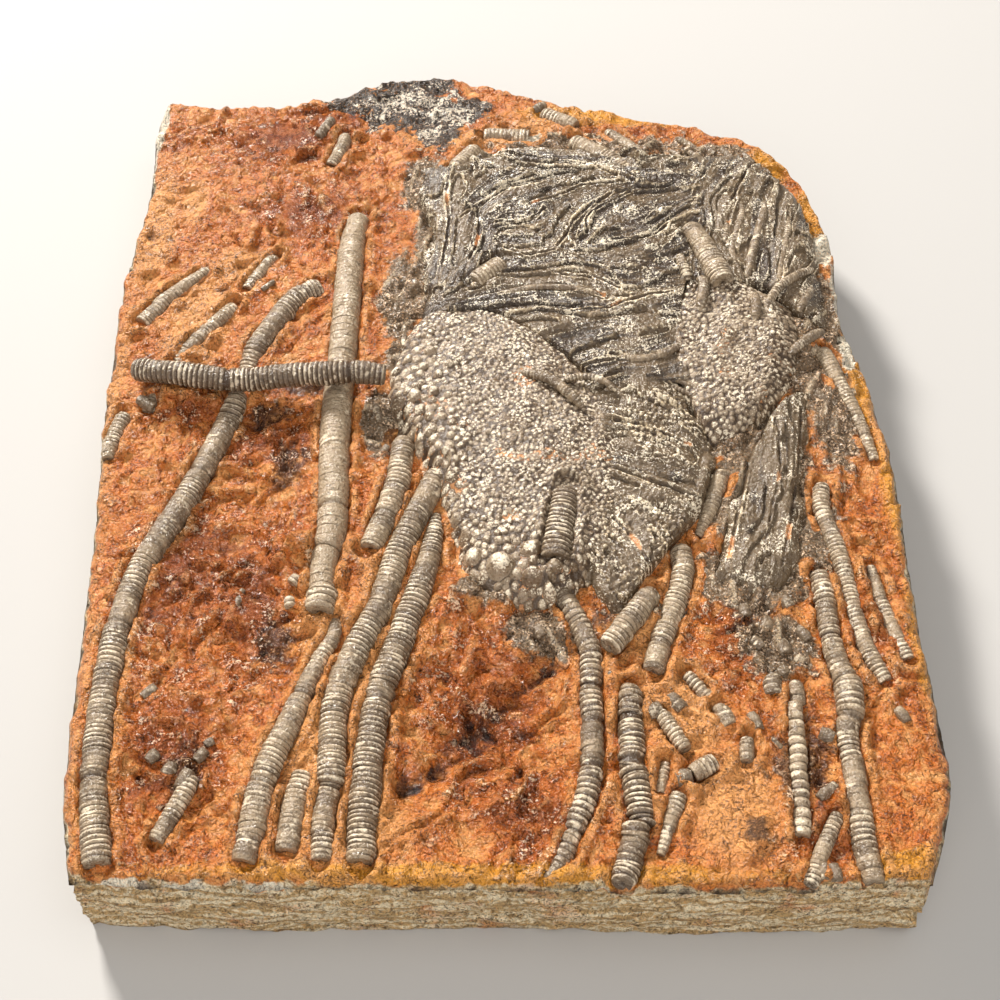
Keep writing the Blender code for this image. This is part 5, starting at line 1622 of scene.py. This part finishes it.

# %% [markdown]
# ## Strands that stand clear
#
# Some arms lie on top of the others as separate ringed strands. They are slim ringed tubes along
# listed routes, joined into one mesh for each bundle.

# %% Standing strands
# Each strand: route points x, y, then its height above the face in the middle, and its diameter.
STRANDS = {
    "upper_arms": [
        ([(3.1, 23.9), (11.5, 25.0), (21.1, 24.2), (25.7, 22.8)], 4.3, 1.5),
        ([(21.8, 16.4), (25.1, 17.3)], 4.3, 1.4), ([(24.3, -0.3), (30.7, 1.8)], 2.6, 1.2),
        ([(26.9, 6.0), (32.9, 5.0), (39.1, 7.3), (42.1, 10.7)], 3.4, 1.8),
        ([(41.4, 74.7), (43.4, 69.5)], 1.4, 1.8), ([(44.1, 73.3), (47.0, 68.1)], 1.4, 1.6),
        ([(43.5, 78.6), (48.5, 70.4)], 1.2, 1.6), ([(47.7, 78.6), (50.6, 74.2)], 1.0, 1.6),
        ([(45.2, 84.0), (50.0, 78.7)], 0.8, 1.8),
    ],
    "lower_arms": [
        ([(7.9, -0.1), (13.9, -2.8), (17.0, -5.9), (20.5, -9.4)], 6.0, 2.3),
        ([(14.7, -2.8), (20.7, -1.3), (24.6, -2.3), (27.7, -4.4)], 5.0, 1.5),
        ([(37.9, -0.6), (42.5, -3.6), (47.4, -7.1), (48.3, -11.1)], 2.6, 1.2),
        ([(39.5, 0.4), (43.8, -2.0), (48.7, -6.0)], 2.8, 1.2),
    ],
    "side_arms": [
        ([(57.7, 30.5), (60.4, 41.4), (63.0, 50.9), (64.1, 57.1)], 3.8, 2.1),
        ([(56.8, 29.8), (54.8, 37.2), (56.2, 43.8), (58.3, 52.0), (57.9, 58.2)], 3.6, 1.8),
        ([(53.4, 41.0), (54.9, 49.0)], 3.2, 1.7),
        ([(64.2, 27.3), (66.0, 36.7), (68.2, 46.0), (69.0, 52.7)], 3.4, 1.7),
        ([(60.0, 19.3), (64.6, 27.3), (72.7, 34.4)], 4.2, 2.1), ([(58.2, 16.9), (58.8, 24.5)], 4.6, 2.4),
        ([(46.3, 19.1), (47.7, 26.9), (46.6, 29.2)], 4.2, 2.6), ([(44.4, 29.1), (42.8, 36.6)], 3.6, 2.6),
        ([(64.8, 8.4), (69.9, 13.4), (73.1, 16.2)], 3.0, 2.2), ([(68.2, 21.2), (72.0, 28.9)], 3.2, 2.2),
    ],
}

# %% [markdown]
# ## Loose bits
#
# Between the long stems the rock is strewn with broken bits of stem, two to five discs long, lying
# every way. They are ringed tubes too, but coarse, and joined into one mesh.

# %% Strewn bits
# Each bit: one end x and y, the other end, diameter.
BITS = [
    (35.1, -74.0, 37.5, -77.0, 3.0), (40.5, -72.5, 42.8, -75.5, 2.6), (31.0, -77.9, 33.4, -76.5, 3.0),
    (49.4, -78.2, 50.7, -81.5, 2.2), (53.9, -70.1, 53.9, -74.4, 3.6), (53.9, -57.1, 54.1, -60.4, 3.2),
    (52.2, -82.2, 54.5, -84.9, 1.2), (61.4, -81.5, 63.8, -83.0, 3.0), (59.5, -95.0, 62.9, -92.2, 2.2),
    (55.6, -68.2, 56.7, -69.9, 2.8), (35.2, -91.6, 38.0, -90.9, 3.4), (59.0, -107.2, 58.9, -110.3, 1.6),
    (60.5, -107.4, 60.9, -110.3, 2.4), (75.8, -76.8, 77.2, -79.8, 2.2), (-61.1, -74.6, -58.9, -72.2, 2.2),
    (-57.9, -88.0, -56.4, -86.0, 2.4), (-54.5, -90.5, -53.6, -88.0, 2.8), (-49.4, -87.9, -47.9, -85.5, 2.2),
    (-48.2, -84.5, -46.8, -83.4, 1.8), (-51.4, -93.5, -50.2, -89.9, 3.0), (-47.2, -55.0, -45.8, -49.2, 1.5),
    (-42.5, 83.7, -39.5, 90.5, 2.6), (10.3, 95.0, 13.3, 97.4, 2.4), (-50.7, 30.9, -48.0, 33.7, 1.4),
    (24.9, -67.9, 24.9, -71.8, 2.4), (-72.9, -2.6, -69.1, -5.2, 2.6), (50.0, -54.2, 50.6, -57.0, 2.6),
    (57.8, -52.2, 59.0, -55.0, 2.6), (47.4, -47.8, 49.6, -49.6, 2.2), (59.8, -60.0, 61.6, -62.6, 2.4),
    (56.2, -62.4, 57.0, -65.6, 3.0), (51.0, -62.0, 52.8, -64.4, 2.4), (15.0, -64.0, 17.2, -66.2, 2.2),
    (11.0, -58.6, 12.4, -61.0, 2.4), (70.0, 1.0, 71.6, -2.4, 2.0), (71.4, 10.0, 73.8, 12.4, 1.8),
    (56.0, 79.0, 58.6, 75.0, 2.0), (61.0, 77.6, 63.4, 73.6, 1.8), (65.0, 73.6, 67.0, 70.2, 1.8),
    (52.0, 81.0, 54.4, 78.0, 1.8), (-20.6, 20.0, -19.8, 27.0, 1.6), (-17.6, 12.0, -17.8, 19.0, 1.5),
    (-22.8, -4.0, -21.4, -9.0, 1.8), (-19.4, -14.0, -21.0, -17.0, 2.2),
]


# Lumps of clear crystal, among them the one at the foot of the tall stem.
LUMPY = [
    (-29.9, -51.0, -30.1, -56.4, 6.4), (-34.9, -47.8, -36.2, -49.6, 2.6), (-36.4, -52.4, -35.8, -55.0, 2.2),
    (-32.8, -55.8, -32.2, -58.0, 1.8), (41.4, -73.4, 42.6, -74.8, 3.0), (58.6, -66.2, 60.2, -67.6, 2.4),
    (5.6, 84.4, 8.2, 84.0, 3.4),
]


def joined_tubes(name, slot, axes, seed, sides, pitch, joint, low, tone):
    """Ringed tubes along these axes, joined into one mesh. Each axis is its points and its radii. low is how
    much dust lies at their feet, tone how dark they are."""
    points, quads, lids, gathered = [], [], [], []
    count = 0
    for number, (axis, radii) in enumerate(axes):
        rows, traits = ringed_tube(axis, radii, pitch, sides, 1.0, seed + number, joint)
        tube, ends = tube_faces(len(rows), sides)
        traits["low"] = low * rest_on_face(rows)
        traits["tone"] = traits["tone"] + tone
        points.append(rows.reshape(-1, 3))
        quads.append(tube + count)
        lids += [end + count for end in ends]
        gathered.append(traits)
        count += len(points[-1])
    traits = {trait: np.concatenate([one[trait].ravel() for one in gathered]) for trait in gathered[0]}
    make_piece(name, np.vstack(points), np.vstack(quads), lids, STEM_FINISH, traits)
    return len(axes)


def bit_axis(x1, y1, x2, y2, diameter):
    """A short level axis lying with about half its thickness above the rock."""
    line = np.linspace((x1, y1), (x2, y2), 9)
    middle = line.mean(axis=0)
    height = worn_face(*middle.reshape(2, 1)) + 0.05 * diameter
    return np.column_stack([line, np.repeat(height, 9)]), np.full(9, 0.5 * diameter)


def strand_axis(route, lift, diameter):
    """An axis along a route, bowed up off the face in the middle and thinner at its ends."""
    line = smooth_line(route, 40)
    bow = 1 - np.linspace(-1, 1, 40) ** 4
    height = face_height(line[:, 0], line[:, 1]) + lift * (0.76 + 0.24 * bow)
    return np.column_stack([line, height]), 0.5 * diameter * (0.55 + 0.45 * bow)


for number, (bundle, routes) in enumerate(STRANDS.items()):
    axes = [strand_axis(*strand) for strand in routes]
    habits = {"sides": 12, "pitch": 0.8, "joint": 0.7, "low": 0.0, "tone": 0.15}
    made = joined_tubes("strands_of_" + bundle, "arms", axes, 400 + 40 * number, **habits)
    print("strands on", bundle, made)

axes = [bit_axis(*bit) for bit in BITS]
made = joined_tubes("strewn_bits", "stems", axes, 700, sides=12, pitch=1.0, joint=0.5, low=0.9, tone=0.35)
print("bits strewn on the rock:", made)

axes = [bit_axis(*bit) for bit in LUMPY]
made = joined_tubes("crystal_lumps", "stems", axes, 800, sides=14, pitch=1.3, joint=2.0, low=0.3, tone=-0.8)
print("lumps of crystal:", made)

# %% [markdown]
# ## Size
#
# The dressed slab has to stay the size of the solid one. The dressed slab's face is stretched to the
# solid one's outline, WIDTH by DEPTH.
